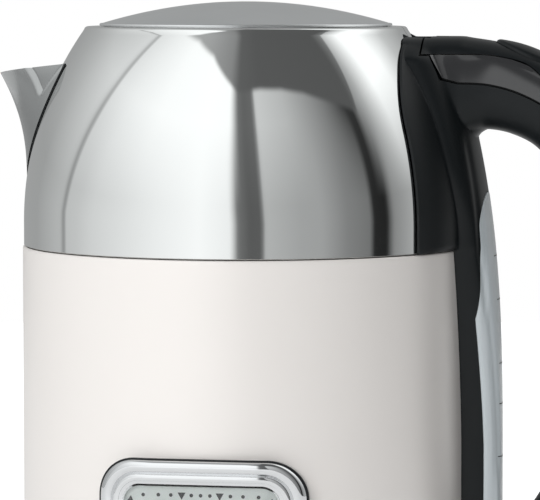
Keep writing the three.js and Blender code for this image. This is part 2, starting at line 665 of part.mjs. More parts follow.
function gaugeGroup() {
  const group = new THREE.Group();
  const front = GAUGE_FRONT_Y;
  group.add(piece("gauge_bezel", gaugeBezel(), "chrome"));
  const lens = gaugePlate(BEZEL_WIDTH - 3 + GAP, front + 1.4, front + 2.2);
  group.add(piece("gauge_lens", lens, "clear"));
  const dial = gaugePlate(BEZEL_WIDTH - 3 + GAP, DIAL_Y, DIAL_Y + 0.5);
  group.add(piece("gauge_dial", dial.subtract(gaugePort(1.3)), "dial"));
  group.add(piece("gauge_cup", gaugeCup(), "satinSteel"));
  group.add(piece("gauge_coil", gaugeCoil(), "brass"));
  group.add(placed("gauge_needle", gaugeNeedle(), "needle", 0, DIAL_Y - 0.7, PIVOT_Z));
  return group;
}

// ---------------------------------------------------------------- handle

/** How far the column's spine stands beyond the bright wall: full low down, less near the top. */
function spineProud(z) {
  const rise = Math.max(0, z - (SHOULDER_Z - 84.7)) / 120.5;
  return SPINE_PROUD - 8.4 * rise ** 3;
}

/** The steel that the handle lies against, at height z. */
const backing = (z) => (z < SHOULDER_Z ? BODY_RADIUS + GAP : domeRadius(z) + GAP + 0.1);

/** Outer X of the column at y and z: the spine, rounded towards its sides. */
function columnX(y, z) {
  const edge = z < SHOULDER_Z ? SHELL_RADIUS : domeRadius(z) + GAP + SADDLE_SKIN;
  const base = Math.sqrt(edge * edge - y * y);
  const share = Math.min(1, Math.abs(y) / columnHalf(z));
  const round = Math.max(0, 1 - share ** 2.6) ** (1 / 2.6);
  return base + (SHELL_RADIUS + spineProud(z) - edge) * round;
}

function column() {
  const spread = (low, high, steps) =>
    Array.from({ length: steps + 1 }, (_, i) => mix(low, high, i / steps));
  const heights = [...spread(COLUMN_FOOT_Z, SHOULDER_Z - GAP, 9),
    ...spread(SHOULDER_Z + GAP, SHOULDER_Z + 44, 3)];
  const place = (u, v) => {
    const z = heights[Math.round(v * (heights.length - 1))];
    return [Math.sin((u - 0.5) * Math.PI) * columnHalf(z), z];
  };
  const outer = (u, v) => {
    const [y, z] = place(u, v);
    return new THREE.Vector3(columnX(y, z), y, z);
  };
  const inner = (u, v) => {
    const [y, z] = place(u, v);
    return new THREE.Vector3(Math.sqrt(backing(z) ** 2 - y * y), y, z);
  };
  return panel(outer, inner, 10, 13);
}

/** Half angle of the saddle that spreads over the dome, narrowing into the collar. */
function saddleHalfAngle(z) {
  const rise = Math.max(0, (z - SHOULDER_Z - 41.3) / 30);
  return radians(SADDLE_HALF_ANGLE - 14.2 * rise ** 2.3);
}

function saddle() {
  const face = (thickness) => (u, v) => {
    const z = mix(SHOULDER_Z + GAP, SHOULDER_Z + 71.3, v);
    const across = 2 * u - 1;
    const swell = thickness * (1 + 0.9 * (1 - across * across));
    return polar(backing(z) + swell, across * saddleHalfAngle(z), z);
  };
  return panel(face(SADDLE_SKIN), face(0), 12, 8);
}

/** The collar: the block that runs from the dome's shoulder back into the arm. */
function collar() {
  const corner = 4;
  const place = (u, v) => {
    const y = (2 * u - 1) * COLLAR_HALF;
    const over = Math.max(0, Math.abs(y) - COLLAR_HALF + corner) / corner;
    const top = ARM_TOP_Z - corner * (1 - Math.sqrt(1 - over * over * 0.96));
    return [y, mix(SHOULDER_Z + 42, top, v)];
  };
  const outer = (u, v) => {
    const [y, z] = place(u, v);
    return new THREE.Vector3(SHELL_RADIUS + 2.8, y, z);
  };
  const inner = (u, v) => {
    const [y, z] = place(u, v);
    return new THREE.Vector3(Math.sqrt(backing(z) ** 2 - y * y), y, z);
  };
  return panel(outer, inner, 10, 4);
}

/** Centre, half depth and half width of the handle's loop at each station, from the collar. */
function loopStations() {
  const top = SHOULDER_Z;
  const foot = COLUMN_FOOT_Z;
  const reach = GRIP_STANDOFF;
  const between = (share) => mix(top + 18.3, foot + 54, share);
  return [
    [-1.2, top + 56.2, 16.6, 15.5], [9.2, top + 55.9, 15.1, 14.4], [20.3, top + 53.1, 14.4, 14],
    [31.8, top + 46.8, 13.8, 13.8], [reach - 11, top + 34.8, 13.2, 13.6],
    [reach - 3.5, top + 18.3, 12.7, 13.4], [reach, between(0.23), 12.5, 13.2],
    [reach, between(0.46), 12.3, 13], [reach - 2.5, between(0.74), 12, 12.6],
    [reach - 7, foot + 54, 11.8, 12], [reach - 15, foot + 34, 11.5, 11.2],
    [reach - 27, foot + 18.5, 11.2, 10.2], [10.8, foot + 11.6, 10.8, 9], [3, foot + 10.9, 10.6, 8.2],
  ].map(([x, z, depth, width]) => ({ x: SHELL_RADIUS + x, z, depth, width }));
}

const STATIONS = loopStations();
const LOOP = new THREE.CatmullRomCurve3(STATIONS.map((s) => new THREE.Vector3(s.x, 0, s.z)));
const LOOP_SIZE = new THREE.CatmullRomCurve3(
  STATIONS.map((s) => new THREE.Vector3(s.depth, s.width, 0)));

/** The loop's frame at t from 0 to 1: centre, outward normal, half depth and half width. */
function loopFrame(t) {
  const centre = LOOP.getPoint(t);
  const along = LOOP.getTangent(t);
  const size = LOOP_SIZE.getPoint(t);
  const outward = new THREE.Vector3(-along.z, 0, along.x);
  return { centre, along, outward, depth: size.x, width: size.y };
}

/** A point of the loop at t, from its depth and side distances off the centreline. */
function loopPoint(t, depth, side) {
  const { centre, outward } = loopFrame(t);
  return centre.addScaledVector(outward, depth).add(new THREE.Vector3(0, side, 0));
}

/** The loop's full body: a rounded section carried along the centreline. */
function loopBody() {
  const [steps, sides, power] = [24, 12, 2.7];
  const rows = [];
  for (let i = 0; i <= steps; i++) {
    const { depth, width } = loopFrame(i / steps);
    const row = [];
    for (let j = 0; j < sides; j++) {
      const angle = (2 * Math.PI * (j + 0.5)) / sides;
      const [c, s] = [Math.cos(angle), Math.sin(angle)];
      const squash = (Math.abs(c) ** power + Math.abs(s) ** power) ** (-1 / power);
      row.push(loopPoint(i / steps, depth * c * squash, width * s * squash));
    }
    rows.push(row);
  }
  return loft(rows);
}

const COVER_END = 0.86;

/** Lower edge of the top cover off the centreline: high over the inlay, then down to the middle. */
function coverEdge(t) {
  const drop = THREE.MathUtils.smoothstep(t, 0.13, 0.27);
  return mix(10.7, 2.2, drop);
}

/** The space that the top cover takes from the handle, grown by a clearance. */
function coverSpace(clearance) {
  const rows = [];
  const steps = 30;
  const front = SHELL_RADIUS - 11;
  const lead = (depth) => [
    new THREE.Vector3(front - clearance, 40, depth), new THREE.Vector3(front - clearance, -40, depth)];
  const low = coverEdge(0) - clearance;
  const flat = SHOULDER_Z + 56.2;
  rows.push([...lead(flat + 40), ...lead(flat + low).reverse()]);
  for (let i = 1; i <= steps; i++) {
    const t = mix(0.02, COVER_END + clearance / 300, i / steps);
    const edge = coverEdge(t) - clearance;
    rows.push([loopPoint(t, 30, 40), loopPoint(t, 30, -40), loopPoint(t, edge, -40),
      loopPoint(t, edge, 40)]);
  }
  return loft(rows);
}

/** The space of one side's gloss inlay: a long leaf under the cover's edge. */
function inlaySpace(side, clearance) {
  const rows = [];
  const steps = 12;
  const [inner, outer] = [side * (11.6 - clearance), side * 40];
  const end = 0.235;
  for (let i = 0; i <= steps; i++) {
    const t = mix(0, end, i / steps);
    const high = coverEdge(t) - GAP + clearance;
    const low = mix(2.6, 1.2, i / steps) - clearance;
    rows.push([loopPoint(t, high, inner), loopPoint(t, high, outer), loopPoint(t, low, outer),
      loopPoint(t, low, inner)]);
  }
  const start = SHELL_RADIUS - 10.2 - clearance;
  const flat = SHOULDER_Z + 56.2;
  rows.unshift([[coverEdge(0) - GAP + clearance, inner], [coverEdge(0) - GAP + clearance, outer],
    [4.6 - clearance, outer], [4.6 - clearance, inner]].map(([depth, y]) =>
    new THREE.Vector3(start, y, flat + depth)));
  return loft(rows);
}

/** A body that follows the window's outline between two depths, grown by a clearance. */
function windowBody(front, back, clearance) {
  const half = (z) => {
    const arch = Math.min(1, Math.max(0, (z - (WINDOW_TOP_Z - WINDOW_HALF)) / (WINDOW_HALF + 0.4)));
    return Math.min(WINDOW_HALF, columnHalf(z) - 1.7) * Math.sqrt(1 - arch * arch);
  };
  const face = (depth) => (u, v) => {
    const ease = Math.sin((v * Math.PI) / 2) ** 0.9;
    const z = mix(WINDOW_FOOT_Z - clearance, WINDOW_TOP_Z + clearance, ease);
    const y = (2 * u - 1) * (half(mix(WINDOW_FOOT_Z, WINDOW_TOP_Z, ease)) + clearance);
    return new THREE.Vector3(depth(y, z), y, z);
  };
  return panel(face(front), face(back), 6, 10);
}

const WINDOW_FLOOR_X = SHELL_RADIUS + 2;

const BUTTON_X = SHELL_RADIUS + 10.4; // button's front tip
const CHANNEL_Z = HINGE_Z - 9.2; // latch bolt's underside
const BOLT_HEIGHT = 3.2;
const BOLT_NOSE_X = HINGE_X + 6;
const LEG_X = BUTTON_X + 5; // front of the button's leg

/** The button's outline from above: an oval, grown by a clearance, from one height to another. */
function buttonOval(low, high, clearance) {
  const shape = new THREE.Shape();
  const middle = BUTTON_X + BUTTON_LENGTH / 2;
  shape.absellipse(middle, 0, BUTTON_LENGTH / 2 + clearance, BUTTON_HALF + clearance, 0, 2 * Math.PI);
  const settings = { depth: high - low, bevelEnabled: false, curveSegments: 12 };
  return solid(new THREE.ExtrudeGeometry(shape, settings).translate(0, 0, low));
}

/** Everything that the latch, the button and the hinge need inside the handle. */
function latchSpace() {
  const hinge = box([HINGE_X - 12, -SLOT_HALF - GAP, HINGE_Z - 12],
    [HINGE_X + 7.3, SLOT_HALF + GAP, ARM_TOP_Z + 5]);
  const channel = box([HINGE_X, -4.6, CHANNEL_Z - 0.4],
    [LEG_X + 13, 4.6, CHANNEL_Z + BOLT_HEIGHT + 0.4]);
  const leg = box([LEG_X - 0.6, -2.6, CHANNEL_Z - BUTTON_TRAVEL], [LEG_X + 4.6, 2.6, ARM_TOP_Z]);
  const nose = box([HINGE_X, -2.8, CHANNEL_Z], [BOLT_NOSE_X + BUTTON_TRAVEL + 2.6, 2.8,
    CHANNEL_Z + BOLT_HEIGHT + 3.6]);
  return join(hinge, channel, leg, nose);
}

/** The lid button's recess: the arm's own surface, sunk by the travel and a floor. */
function buttonRecess() {
  const rows = [];
  for (let i = 0; i <= 8; i++) {
    const t = mix(0.03, 0.32, i / 8);
    const floor = loopFrame(t).depth - BUTTON_TRAVEL - 3.4;
    rows.push([loopPoint(t, 30, 20), loopPoint(t, 30, -20), loopPoint(t, floor, -20),
      loopPoint(t, floor, 20)]);
  }
  return loft(rows).intersect(buttonOval(SHOULDER_Z, ARM_TOP_Z + 20, GAP + 0.1));
}

function lidButton() {
  const rows = [];
  for (let i = 0; i <= 10; i++) {
    const t = mix(0.03, 0.32, i / 10);
    const { depth } = loopFrame(t);
    const [high, low] = [depth + 0.9, depth - 1.8];
    rows.push([loopPoint(t, high, 0), loopPoint(t, high - 0.9, 5), loopPoint(t, high - 3, 10),
      loopPoint(t, low, 10), loopPoint(t, low, -10), loopPoint(t, high - 3, -10),
      loopPoint(t, high - 0.9, -5)]);
  }
  const cap = loft(rows).intersect(buttonOval(SHOULDER_Z, ARM_TOP_Z + 20, 0));
  const foot = CHANNEL_Z + BOLT_HEIGHT;
  const leg = outline([[LEG_X, ARM_TOP_Z - 5], [LEG_X, foot - 2.6], [LEG_X + 1.4, foot - 2.6],
    [LEG_X + 4, foot], [LEG_X + 4, ARM_TOP_Z - 5]]);
  return cap.add(plate(leg, -2, 2));
}

/** The latch bolt: a bar whose sloped window the button's leg wedges back. */
function latchBolt() {
  const [low, high] = [CHANNEL_Z, CHANNEL_Z + BOLT_HEIGHT];
  const slope = LEG_X + 4 + GAP * Math.SQRT2;
  const bar = plate(outline([[BOLT_NOSE_X, low], [LEG_X + 7.4, low], [LEG_X + 7.4, high],
    [BOLT_NOSE_X, high]]), -4.2, 4.2);
  const nose = plate(outline([[BOLT_NOSE_X, low + 1], [BOLT_NOSE_X + 2, low + 1],
    [BOLT_NOSE_X + 2, high + 2.4], [BOLT_NOSE_X + 1, high + 3], [BOLT_NOSE_X, high + 3]]),
  -2.5, 2.5);
  const window = plate(outline([[LEG_X - 3.8, low - 1], [slope - BOLT_HEIGHT - 1, low - 1],
    [slope + 1, high + 1],
    [LEG_X - 3.8, high + 1]]), -2.6, 2.6);
  return join(bar, nose).subtract(window);
}

const LEVER_X = SHELL_RADIUS + 10;
const LEVER_Z = COLUMN_FOOT_Z - 6.5;

function leverLugs() {
  const lug = outline([[LEVER_X - 5, COLUMN_FOOT_Z + 3], [LEVER_X - 3.6, LEVER_Z - 2],
    [LEVER_X, LEVER_Z - 3.6], [LEVER_X + 3.6, LEVER_Z - 2], [LEVER_X + 6, COLUMN_FOOT_Z + 4]]);
  const near = LEVER_HALF + GAP;
  const both = join(plate(lug, near, near + 2.4), plate(lug, -near - 2.4, -near));
  const bridge = box([LEVER_X - 5, -near - 2.4, COLUMN_FOOT_Z], [LEVER_X + 6, near + 2.4,
    COLUMN_FOOT_Z + 4]);
  return both.add(bridge).subtract(cross(1.9, LEVER_X, LEVER_Z, -20, 20, 12));
}

function switchLever() {
  const paddle = outline([[LEVER_X - 3, LEVER_Z + 1.5], [LEVER_X - 2, LEVER_Z - 2.6],
    [LEVER_X + 3, LEVER_Z - 2.4], [LEVER_X + 20, LEVER_Z - 4.2], [LEVER_X + 24, LEVER_Z - 2.4],
    [LEVER_X + 23, LEVER_Z - 0.8], [LEVER_X + 8, LEVER_Z + 2], [LEVER_X, LEVER_Z + 3]]);
  const recess = box([LEVER_X + 11, -5.3, LEVER_Z - 1.6], [LEVER_X + 18, 5.3, LEVER_Z + 5]);
  const stub = cross(1.5, LEVER_X, LEVER_Z, -LEVER_HALF - 2.4, LEVER_HALF + 2.4, 12);
  return join(plate(paddle, -LEVER_HALF, LEVER_HALF), stub).subtract(recess);
}

const HANDLE_SCREW_X = SHELL_RADIUS + 22;

function handleGroup() {
  const group = new THREE.Group();
  const whole = join(column(), saddle(), collar(), loopBody(), leverLugs());
  const inside = latchSpace();
  const seat = disc(3.6, COLUMN_FOOT_Z - 20, COLUMN_FOOT_Z + 12, 16)
    .add(disc(1.9, COLUMN_FOOT_Z, COLUMN_FOOT_Z + 24, 12)).translate([HANDLE_SCREW_X, 0, 0]);
  const inFront = (y, z) => columnX(y, z) + 3;
  const floor = () => WINDOW_FLOOR_X;
  const windowHole = windowBody(inFront, floor, GAP);
  const recess = buttonRecess();
  const body = cut(whole, coverSpace(GAP), inlaySpace(1, GAP), inlaySpace(-1, GAP),
    inside, seat, windowHole, recess);
  group.add(piece("handle_body", body, "blackPlastic"));
  const cover = cut(whole.intersect(coverSpace(0)), inside, recess);
  group.add(piece("handle_top_cover", cover, "blackPlastic"));
  for (const [name, side] of [["left", -1], ["right", 1]]) {
    const inlay = whole.intersect(inlaySpace(side, 0)).subtract(inside);
    group.add(piece(`handle_inlay_${name}`, inlay, "glossBlack"));
  }
  const flush = (y, z) => columnX(y, z);
  const behind = (y, z) => columnX(y, z) - WINDOW_WALL;
  group.add(piece("water_window", windowBody(flush, behind, 0), "clear"));
  const sealFace = (depth) => (y, z) => columnX(y, z) - WINDOW_WALL - depth;
  const seal = windowBody(sealFace(2 * GAP), sealFace(2 * GAP + 1), -0.2)
    .subtract(windowBody(sealFace(-3), sealFace(6), -1.4));
  group.add(piece("window_seal", seal, "rubber"));
  group.add(placed("handle_screw", screw(3, 1.8, 1.5, 12), "satinSteel", HANDLE_SCREW_X, 0,
    COLUMN_FOOT_Z + 12 - GAP));
  return group;
}

// ---------------------------------------------------------------- lid and hinge

/** Height of the lid cap's outer face at radius r: a shallow dome. */
const capHeight = (r) => SHELF_Z + GAP + 0.5 + LID_CROWN * (1 - (r / LID_RADIUS) ** 2);

function lidCap() {
  const radii = [0, 0.35, 0.65, 0.88, 0.985].map((share) => share * LID_RADIUS);
  const outer = radii.map((r) => [r, capHeight(r)]);
  const inner = radii.map((r) => [Math.min(r, LID_RADIUS - 1.2), capHeight(r) - LID_WALL]).reverse();
  return lathe([...outer, [LID_RADIUS, SHELF_Z + GAP + 0.5], [LID_RADIUS, SHELF_Z + GAP],
    [LID_RADIUS - 1.2, SHELF_Z + GAP], ...inner]);
}

const PLUG_RADIUS = MOUTH_RADIUS - PLUG_CLEARANCE;

function lidInner() {
  const top = SHELF_Z - 1.7;
  const low = SHELF_Z - LIP_DEPTH - 0.7;
  const r = PLUG_RADIUS;
  const cup = lathe([[0, low + 2], [r - 8, low + 2], [r - 5, low], [r - 1.5, low], [r, low + 2],
    [r, top], [r - 2, top], [r - 2, low + 4.5], [0, low + 4.5]], 30);
  const rest = tube(r - 16, r - 13.5, low + 4, top - GAP, 18);
  const notch = box([r - 6, -LID_ARM_HALF - 2.4, top - 4.5], [r + 3, LID_ARM_HALF + 2.4, top + 2]);
  return cup.add(rest).subtract(notch);
}

function lidArm() {
  const [x, z] = [HINGE_X, HINGE_Z];
  const under = SHELF_Z - 1.2;
  const tail = PLUG_RADIUS - 16;
  const neck = outline([[tail, under], [PLUG_RADIUS, under], [x - 6.5, z + 1.5], [x - 3, z - 1],
    [x, z], [x + 1, z + 2.8], [x - 2.2, z + 5.6], [x - 5, z + 8], [x - 9, z + 8.4],
    [x - 14, under + 1.6], [tail, under + 1.6]]);
  const hub = cross(HUB_RADIUS, x, z, -LID_ARM_HALF, LID_ARM_HALF, 18);
  const lug = outline([[x, z + 1.5], [x + 4.6, z - 0.6], [x + 5.2, z - 2.2], [x + 2, z - 2.9],
    [x - 1, z - 2.5]]);
  const plateTail = box([tail, -8, under], [PLUG_RADIUS - 8, 8, under + 1.6]);
  return join(plate(neck, -LID_ARM_HALF, LID_ARM_HALF), hub, plate(lug, -LID_ARM_HALF,
    LID_ARM_HALF), plateTail).subtract(cross(PIN_RADIUS + GAP, x, z, -20, 20, 18));
}

/** The hinge bracket: a trough that fills the rim's slot and holds the pin. */
function hingeBracket() {
  const [x, z] = [HINGE_X, HINGE_Z];
  const half = SLOT_HALF - GAP;
  const foot = z - 9.5 + GAP;
  const shape = outline([[x - 3.5, foot + 4], [x + 2, foot], [x + 5.7, foot], [x + 5.7, z + 5.2],
    [x - 0.4, z + 5.2], [x - 3.2, z + 6.6], [x - 4.6, z + 6.6], [x - 4.6, foot + 6]]);
  const trough = box([x - 3.4, -LID_ARM_HALF - 3.6, foot + 1.2], [x + 9, LID_ARM_HALF + 3.6, z + 9]);
  const mouth = box([x - 9, -LID_ARM_HALF - 0.5, z - 1.2], [x, LID_ARM_HALF + 0.5, z + 9]);
  return cut(plate(shape, -half, half), trough, mouth,
    cross(PIN_RADIUS + GAP, x, z, -half - 1, half + 1, 18));
}

/** The lid's torsion spring, wound on the pin beside the arm, with a leg to the trough's floor. */
function lidSpring() {
  const [turns, radius, wire] = [3, PIN_RADIUS + 1, 0.35];
  const points = [];
  for (let i = 0; i <= 12 * turns; i++) {
    const angle = (2 * Math.PI * i) / 12 + Math.PI;
    const y = LID_ARM_HALF + 0.8 + (i / (12 * turns)) * 2;
    points.push(new THREE.Vector3(HINGE_X + radius * Math.cos(angle), y,
      HINGE_Z + radius * Math.sin(angle)));
  }
  points.push(new THREE.Vector3(HINGE_X - radius, LID_ARM_HALF + 2.8, HINGE_Z - 4.5));
  const section = new THREE.Shape();
  section.absarc(0, 0, wire, 0, 2 * Math.PI);
  const path = new THREE.CatmullRomCurve3(points);
  return solid(new THREE.ExtrudeGeometry(section, { steps: 34, extrudePath: path, curveSegments: 3 }));
}

function hingeGroup() {
  const group = new THREE.Group();
  const half = SLOT_HALF - GAP;
  group.add(piece("hinge_bracket", hingeBracket(), "blackPlastic"));
  group.add(piece("hinge_pin", cross(PIN_RADIUS, HINGE_X, HINGE_Z, -half, half, 18), "satinSteel"));
  group.add(piece("lid_spring", lidSpring(), "satinSteel"));
  return group;
}

function lidGroup() {
  const group = new THREE.Group();
  group.add(piece("lid_cap", lidCap(), "satinSteel"));
  group.add(piece("lid_inner", lidInner(), "blackPlastic"));
  const seal = lathe([[PLUG_RADIUS + GAP, SHELF_Z - 3.6], [PLUG_RADIUS + 1.5, SHELF_Z - 3.2],
    [PLUG_RADIUS + 1.5, SHELF_Z - 2], [PLUG_RADIUS + GAP, SHELF_Z - 1.8]], 30);
  const armGap = box([0, -LID_ARM_HALF - 1, SHELF_Z - 5], [SHELL_RADIUS, LID_ARM_HALF + 1, SHELF_Z]);
  group.add(piece("lid_seal", seal.subtract(armGap), "silicone"));
  group.add(piece("lid_arm", lidArm(), "blackPlastic"));
  return group;
}

// ---------------------------------------------------------------- assembly

const kettle = new THREE.Group();
kettle.add(vesselGroup(), spoutGroup(), gaugeGroup(), handleGroup(), hingeGroup(), lidGroup());
kettle.add(piece("lid_button", lidButton(), "blackPlastic"));
kettle.add(piece("latch_bolt", latchBolt(), "blackPlastic"));
kettle.add(piece("switch_lever", switchLever(), "blackPlastic"));
kettle.add(piece("lamp_lens", box([LEVER_X + 11 + GAP, -5, LEVER_Z - 1.6 + GAP],
  [LEVER_X + 18 - GAP, 5, LEVER_Z + 0.4]), "clear"));

const assembly = new THREE.Group();
assembly.add(powerBase(), piece("centring_ring", centringRing(), "blackPlastic"), kettle);

export default assembly;
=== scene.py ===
"""Fine surfaces and finishes of a cordless electric kettle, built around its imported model.

Shapes are worked out in millimetres and put into the meshes in metres. The spout points to -X,
the handle to +X and the gauge to -Y, and the vessel's axis is Z.
"""

import logging
import math
from collections.abc import Callable, Sequence
from dataclasses import dataclass, field
from enum import Enum

import bmesh
import bpy
import numpy as np
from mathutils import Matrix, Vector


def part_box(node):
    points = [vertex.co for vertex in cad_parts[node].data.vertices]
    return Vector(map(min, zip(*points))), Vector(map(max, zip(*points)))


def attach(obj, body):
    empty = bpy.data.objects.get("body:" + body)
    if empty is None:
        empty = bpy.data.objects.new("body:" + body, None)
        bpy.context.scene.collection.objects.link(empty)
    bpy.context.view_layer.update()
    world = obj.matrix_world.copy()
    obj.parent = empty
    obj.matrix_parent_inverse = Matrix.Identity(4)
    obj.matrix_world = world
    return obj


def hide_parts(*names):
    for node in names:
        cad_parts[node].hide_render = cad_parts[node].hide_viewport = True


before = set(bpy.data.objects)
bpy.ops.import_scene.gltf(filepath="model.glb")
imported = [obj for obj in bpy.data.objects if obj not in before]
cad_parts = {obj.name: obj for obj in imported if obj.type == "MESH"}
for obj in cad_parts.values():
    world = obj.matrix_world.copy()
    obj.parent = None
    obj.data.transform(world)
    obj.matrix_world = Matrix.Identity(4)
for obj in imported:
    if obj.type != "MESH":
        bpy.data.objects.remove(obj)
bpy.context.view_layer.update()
log = logging.getLogger("kettle")

MM = 0.001
GAP = 0.3  # seam between pieces that touch
SIDES = {"left": -1, "right": 1}  # the sign of Y on each side
SHARP_ANGLE = math.radians(38)
BEVEL_ANGLE = math.radians(32)
SHRINK, REGROW = 0.6, 0.35  # a softening round's pull, inwards and back out


# ------------------------------------------------------------------ arrays and meshes


def corners_mm(node: str) -> tuple[np.ndarray, np.ndarray]:
    """Lowest and highest corner of a CAD node, in millimetres."""
    low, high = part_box(node)
    return np.array(low) / MM, np.array(high) / MM


def mix(start: float, end: float, share: np.ndarray | float) -> np.ndarray | float:
    """Straight blend from start to end."""
    return start + (end - start) * share


def smoothstep(x: np.ndarray, low: float, high: float) -> np.ndarray:
    """0 below low, 1 above high, and 3t^2 - 2t^3 between."""
    t = np.clip((x - low) / (high - low), 0, 1)
    return t * t * (3 - 2 * t)


def superellipse(share: np.ndarray, power: float) -> np.ndarray:
    """(1 - |share|^power)^(1/power): the height of a rounded section across its width."""
    return np.maximum(0, 1 - np.abs(share) ** power) ** (1 / power)


@dataclass
class Skin:
    """Points in millimetres and the faces that join them."""

    points: np.ndarray
    faces: list[tuple[int, ...]]

    def joined(self, other: "Skin") -> "Skin":
        """Both skins as one."""
        shift = len(self.points)
        moved = [tuple(k + shift for k in face) for face in other.faces]
        return Skin(np.vstack([self.points, other.points]), self.faces + moved)


def quads(rows: int, columns: int, wrap_rows: bool = False, wrap_columns: bool = False) -> np.ndarray:
    """Corner numbers of the quads of a grid.

    Args:
        rows: Rows of points.
        columns: Points in a row.
        wrap_rows: Join the last row to the first.
        wrap_columns: Join each row's end to its start.

    Returns:
        An array of four corner numbers for each quad.
    """
    r = np.arange(rows if wrap_rows else rows - 1)[:, None]
    c = np.arange(columns if wrap_columns else columns - 1)[None, :]
    r2, c2 = (r + 1) % rows, (c + 1) % columns
    corners = [r * columns + c, r * columns + c2, r2 * columns + c2, r2 * columns + c]
    return np.stack(np.broadcast_arrays(*corners), -1).reshape(-1, 4)


def ringed(rows: np.ndarray) -> Skin:
    """A closed skin from rings of points, its two ends closed by fans to their middles."""
    count, width = rows.shape[:2]
    ends = np.vstack([rows[0].mean(0), rows[-1].mean(0)])
    faces = [tuple(q) for q in quads(count, width, wrap_columns=True)]
    first, last = count * width, count * width + 1
    base = (count - 1) * width
    for j in range(width):
        k = (j + 1) % width
        faces.append((first, k, j))
        faces.append((last, base + j, base + k))
    return Skin(np.vstack([rows.reshape(-1, 3), ends]), faces)


def wrapped(rows: np.ndarray) -> Skin:
    """A closed skin from rings of points, its last ring joined to the first."""
    faces = quads(*rows.shape[:2], wrap_rows=True, wrap_columns=True)
    return Skin(rows.reshape(-1, 3), [tuple(q) for q in faces])


def turned(profile: Sequence[tuple[float, float]], sides: int = 144) -> Skin:
    """A skin turned about Z from a closed outline of [radius, z] points."""
    outline = np.array(profile, float)
    angle = np.linspace(0, 2 * np.pi, sides, endpoint=False)
    x = outline[:, 0][:, None] * np.cos(angle)
    y = outline[:, 0][:, None] * np.sin(angle)
    z = np.broadcast_to(outline[:, 1][:, None], x.shape)
    return wrapped(np.stack([x, y, z], -1))


def shell(outer: np.ndarray, inner: np.ndarray) -> Skin:
    """A closed skin between two grids of the same size, joined along their four edges."""
    rows, columns = outer.shape[:2]
    half = rows * columns
    face = quads(rows, columns)
    index = np.arange(half).reshape(rows, columns)
    rim = np.concatenate([index[0], index[1:, -1], index[-1, -2::-1], index[-2:0:-1, 0]])
    ahead = np.roll(rim, -1)
    wall = np.stack([rim, rim + half, ahead + half, ahead], -1)
    faces = np.vstack([face, face[:, ::-1] + half, wall])
    return Skin(np.vstack([outer.reshape(-1, 3), inner.reshape(-1, 3)]), [tuple(q) for q in faces])


def surface(place: Callable, u_steps: int, v_steps: int) -> np.ndarray:
    """place(u, v) on a grid: u from 0 to 1 along each row and v from row to row."""
    v, u = np.meshgrid(np.linspace(0, 1, v_steps + 1), np.linspace(0, 1, u_steps + 1), indexing="ij")
    return np.stack(np.broadcast_arrays(*place(u, v)), -1)


def block(low: Sequence[float], high: Sequence[float]) -> Skin:
    """A plain box between two corners, for cutting with."""
    (x0, y0, z0), (x1, y1, z1) = low, high
    ring = np.array([[x0, y0], [x1, y0], [x1, y1], [x0, y1]])
    rows = [np.column_stack([ring, np.full(4, z)]) for z in (z0, z1)]
    return ringed(np.array(rows))


def rod(radius: float, start: Sequence[float], end: Sequence[float], sides: int = 48) -> Skin:
    """A round bar from one point to another."""
    a, b = np.array(start, float), np.array(end, float)
    along = (b - a) / np.linalg.norm(b - a)
    side = np.cross(along, [0.3, 0.5, 0.81])
    side /= np.linalg.norm(side)
    up = np.cross(along, side)
    angle = np.linspace(0, 2 * np.pi, sides, endpoint=False)[:, None]
    ring = radius * (np.cos(angle) * side + np.sin(angle) * up)
    return ringed(np.array([a + ring, b + ring]))


def raised(outline: np.ndarray, y0: float, y1: float) -> Skin:
    """An outline of [x, z] points carried along Y from y0 to y1."""
    rows = [np.column_stack([outline[:, 0], np.full(len(outline), y), outline[:, 1]]) for y in (y0, y1)]
    return ringed(np.array(rows))


def linked(name: str, data: bpy.types.ID) -> bpy.types.Object:
    """A new object in the scene."""
    item = bpy.data.objects.new(name, data)
    bpy.context.scene.collection.objects.link(item)
    return item


def mesh_from(skin: Skin) -> bpy.types.Mesh:
    """A mesh in metres, its doubles merged and its faces pointing outwards."""
    mesh = bpy.data.meshes.new("surface")
    mesh.from_pydata((skin.points * MM).tolist(), [], skin.faces)
    work = bmesh.new()
    work.from_mesh(mesh)
    bmesh.ops.remove_doubles(work, verts=work.verts, dist=1e-6)
    bmesh.ops.dissolve_degenerate(work, edges=work.edges, dist=1e-7)
    bmesh.ops.recalc_face_normals(work, faces=work.faces)
    work.to_mesh(mesh)
    work.free()
    return mesh


class Cut(Enum):
    """How one solid changes another."""

    AWAY = "DIFFERENCE"
    TOGETHER = "UNION"
    COMMON = "INTERSECT"


def carve(mesh: bpy.types.Mesh, *steps: tuple[Cut, Skin | bpy.types.Mesh]) -> bpy.types.Mesh:
    """The mesh after each step's solid has been cut away, added or kept in common.

    Args:
        mesh: The solid to start from; it is left as it is.
        steps: Pairs of what to do and the solid to do it with.

    Returns:
        A new mesh.
    """
    base = linked("carve_base", mesh)
    helpers = []
    for kind, tool in steps:
        solid = tool if isinstance(tool, bpy.types.Mesh) else mesh_from(tool)
        helper = linked("carve_tool", solid)
        modifier = base.modifiers.new("cut", "BOOLEAN")
        modifier.operation = kind.value
        modifier.solver = "MANIFOLD"
        modifier.object = helper
        helpers.append(helper)
    bpy.context.view_layer.update()
    made = bpy.data.meshes.new_from_object(base.evaluated_get(bpy.context.evaluated_depsgraph_get()))
    for item in [base, *helpers]:
        bpy.data.objects.remove(item)
    return made


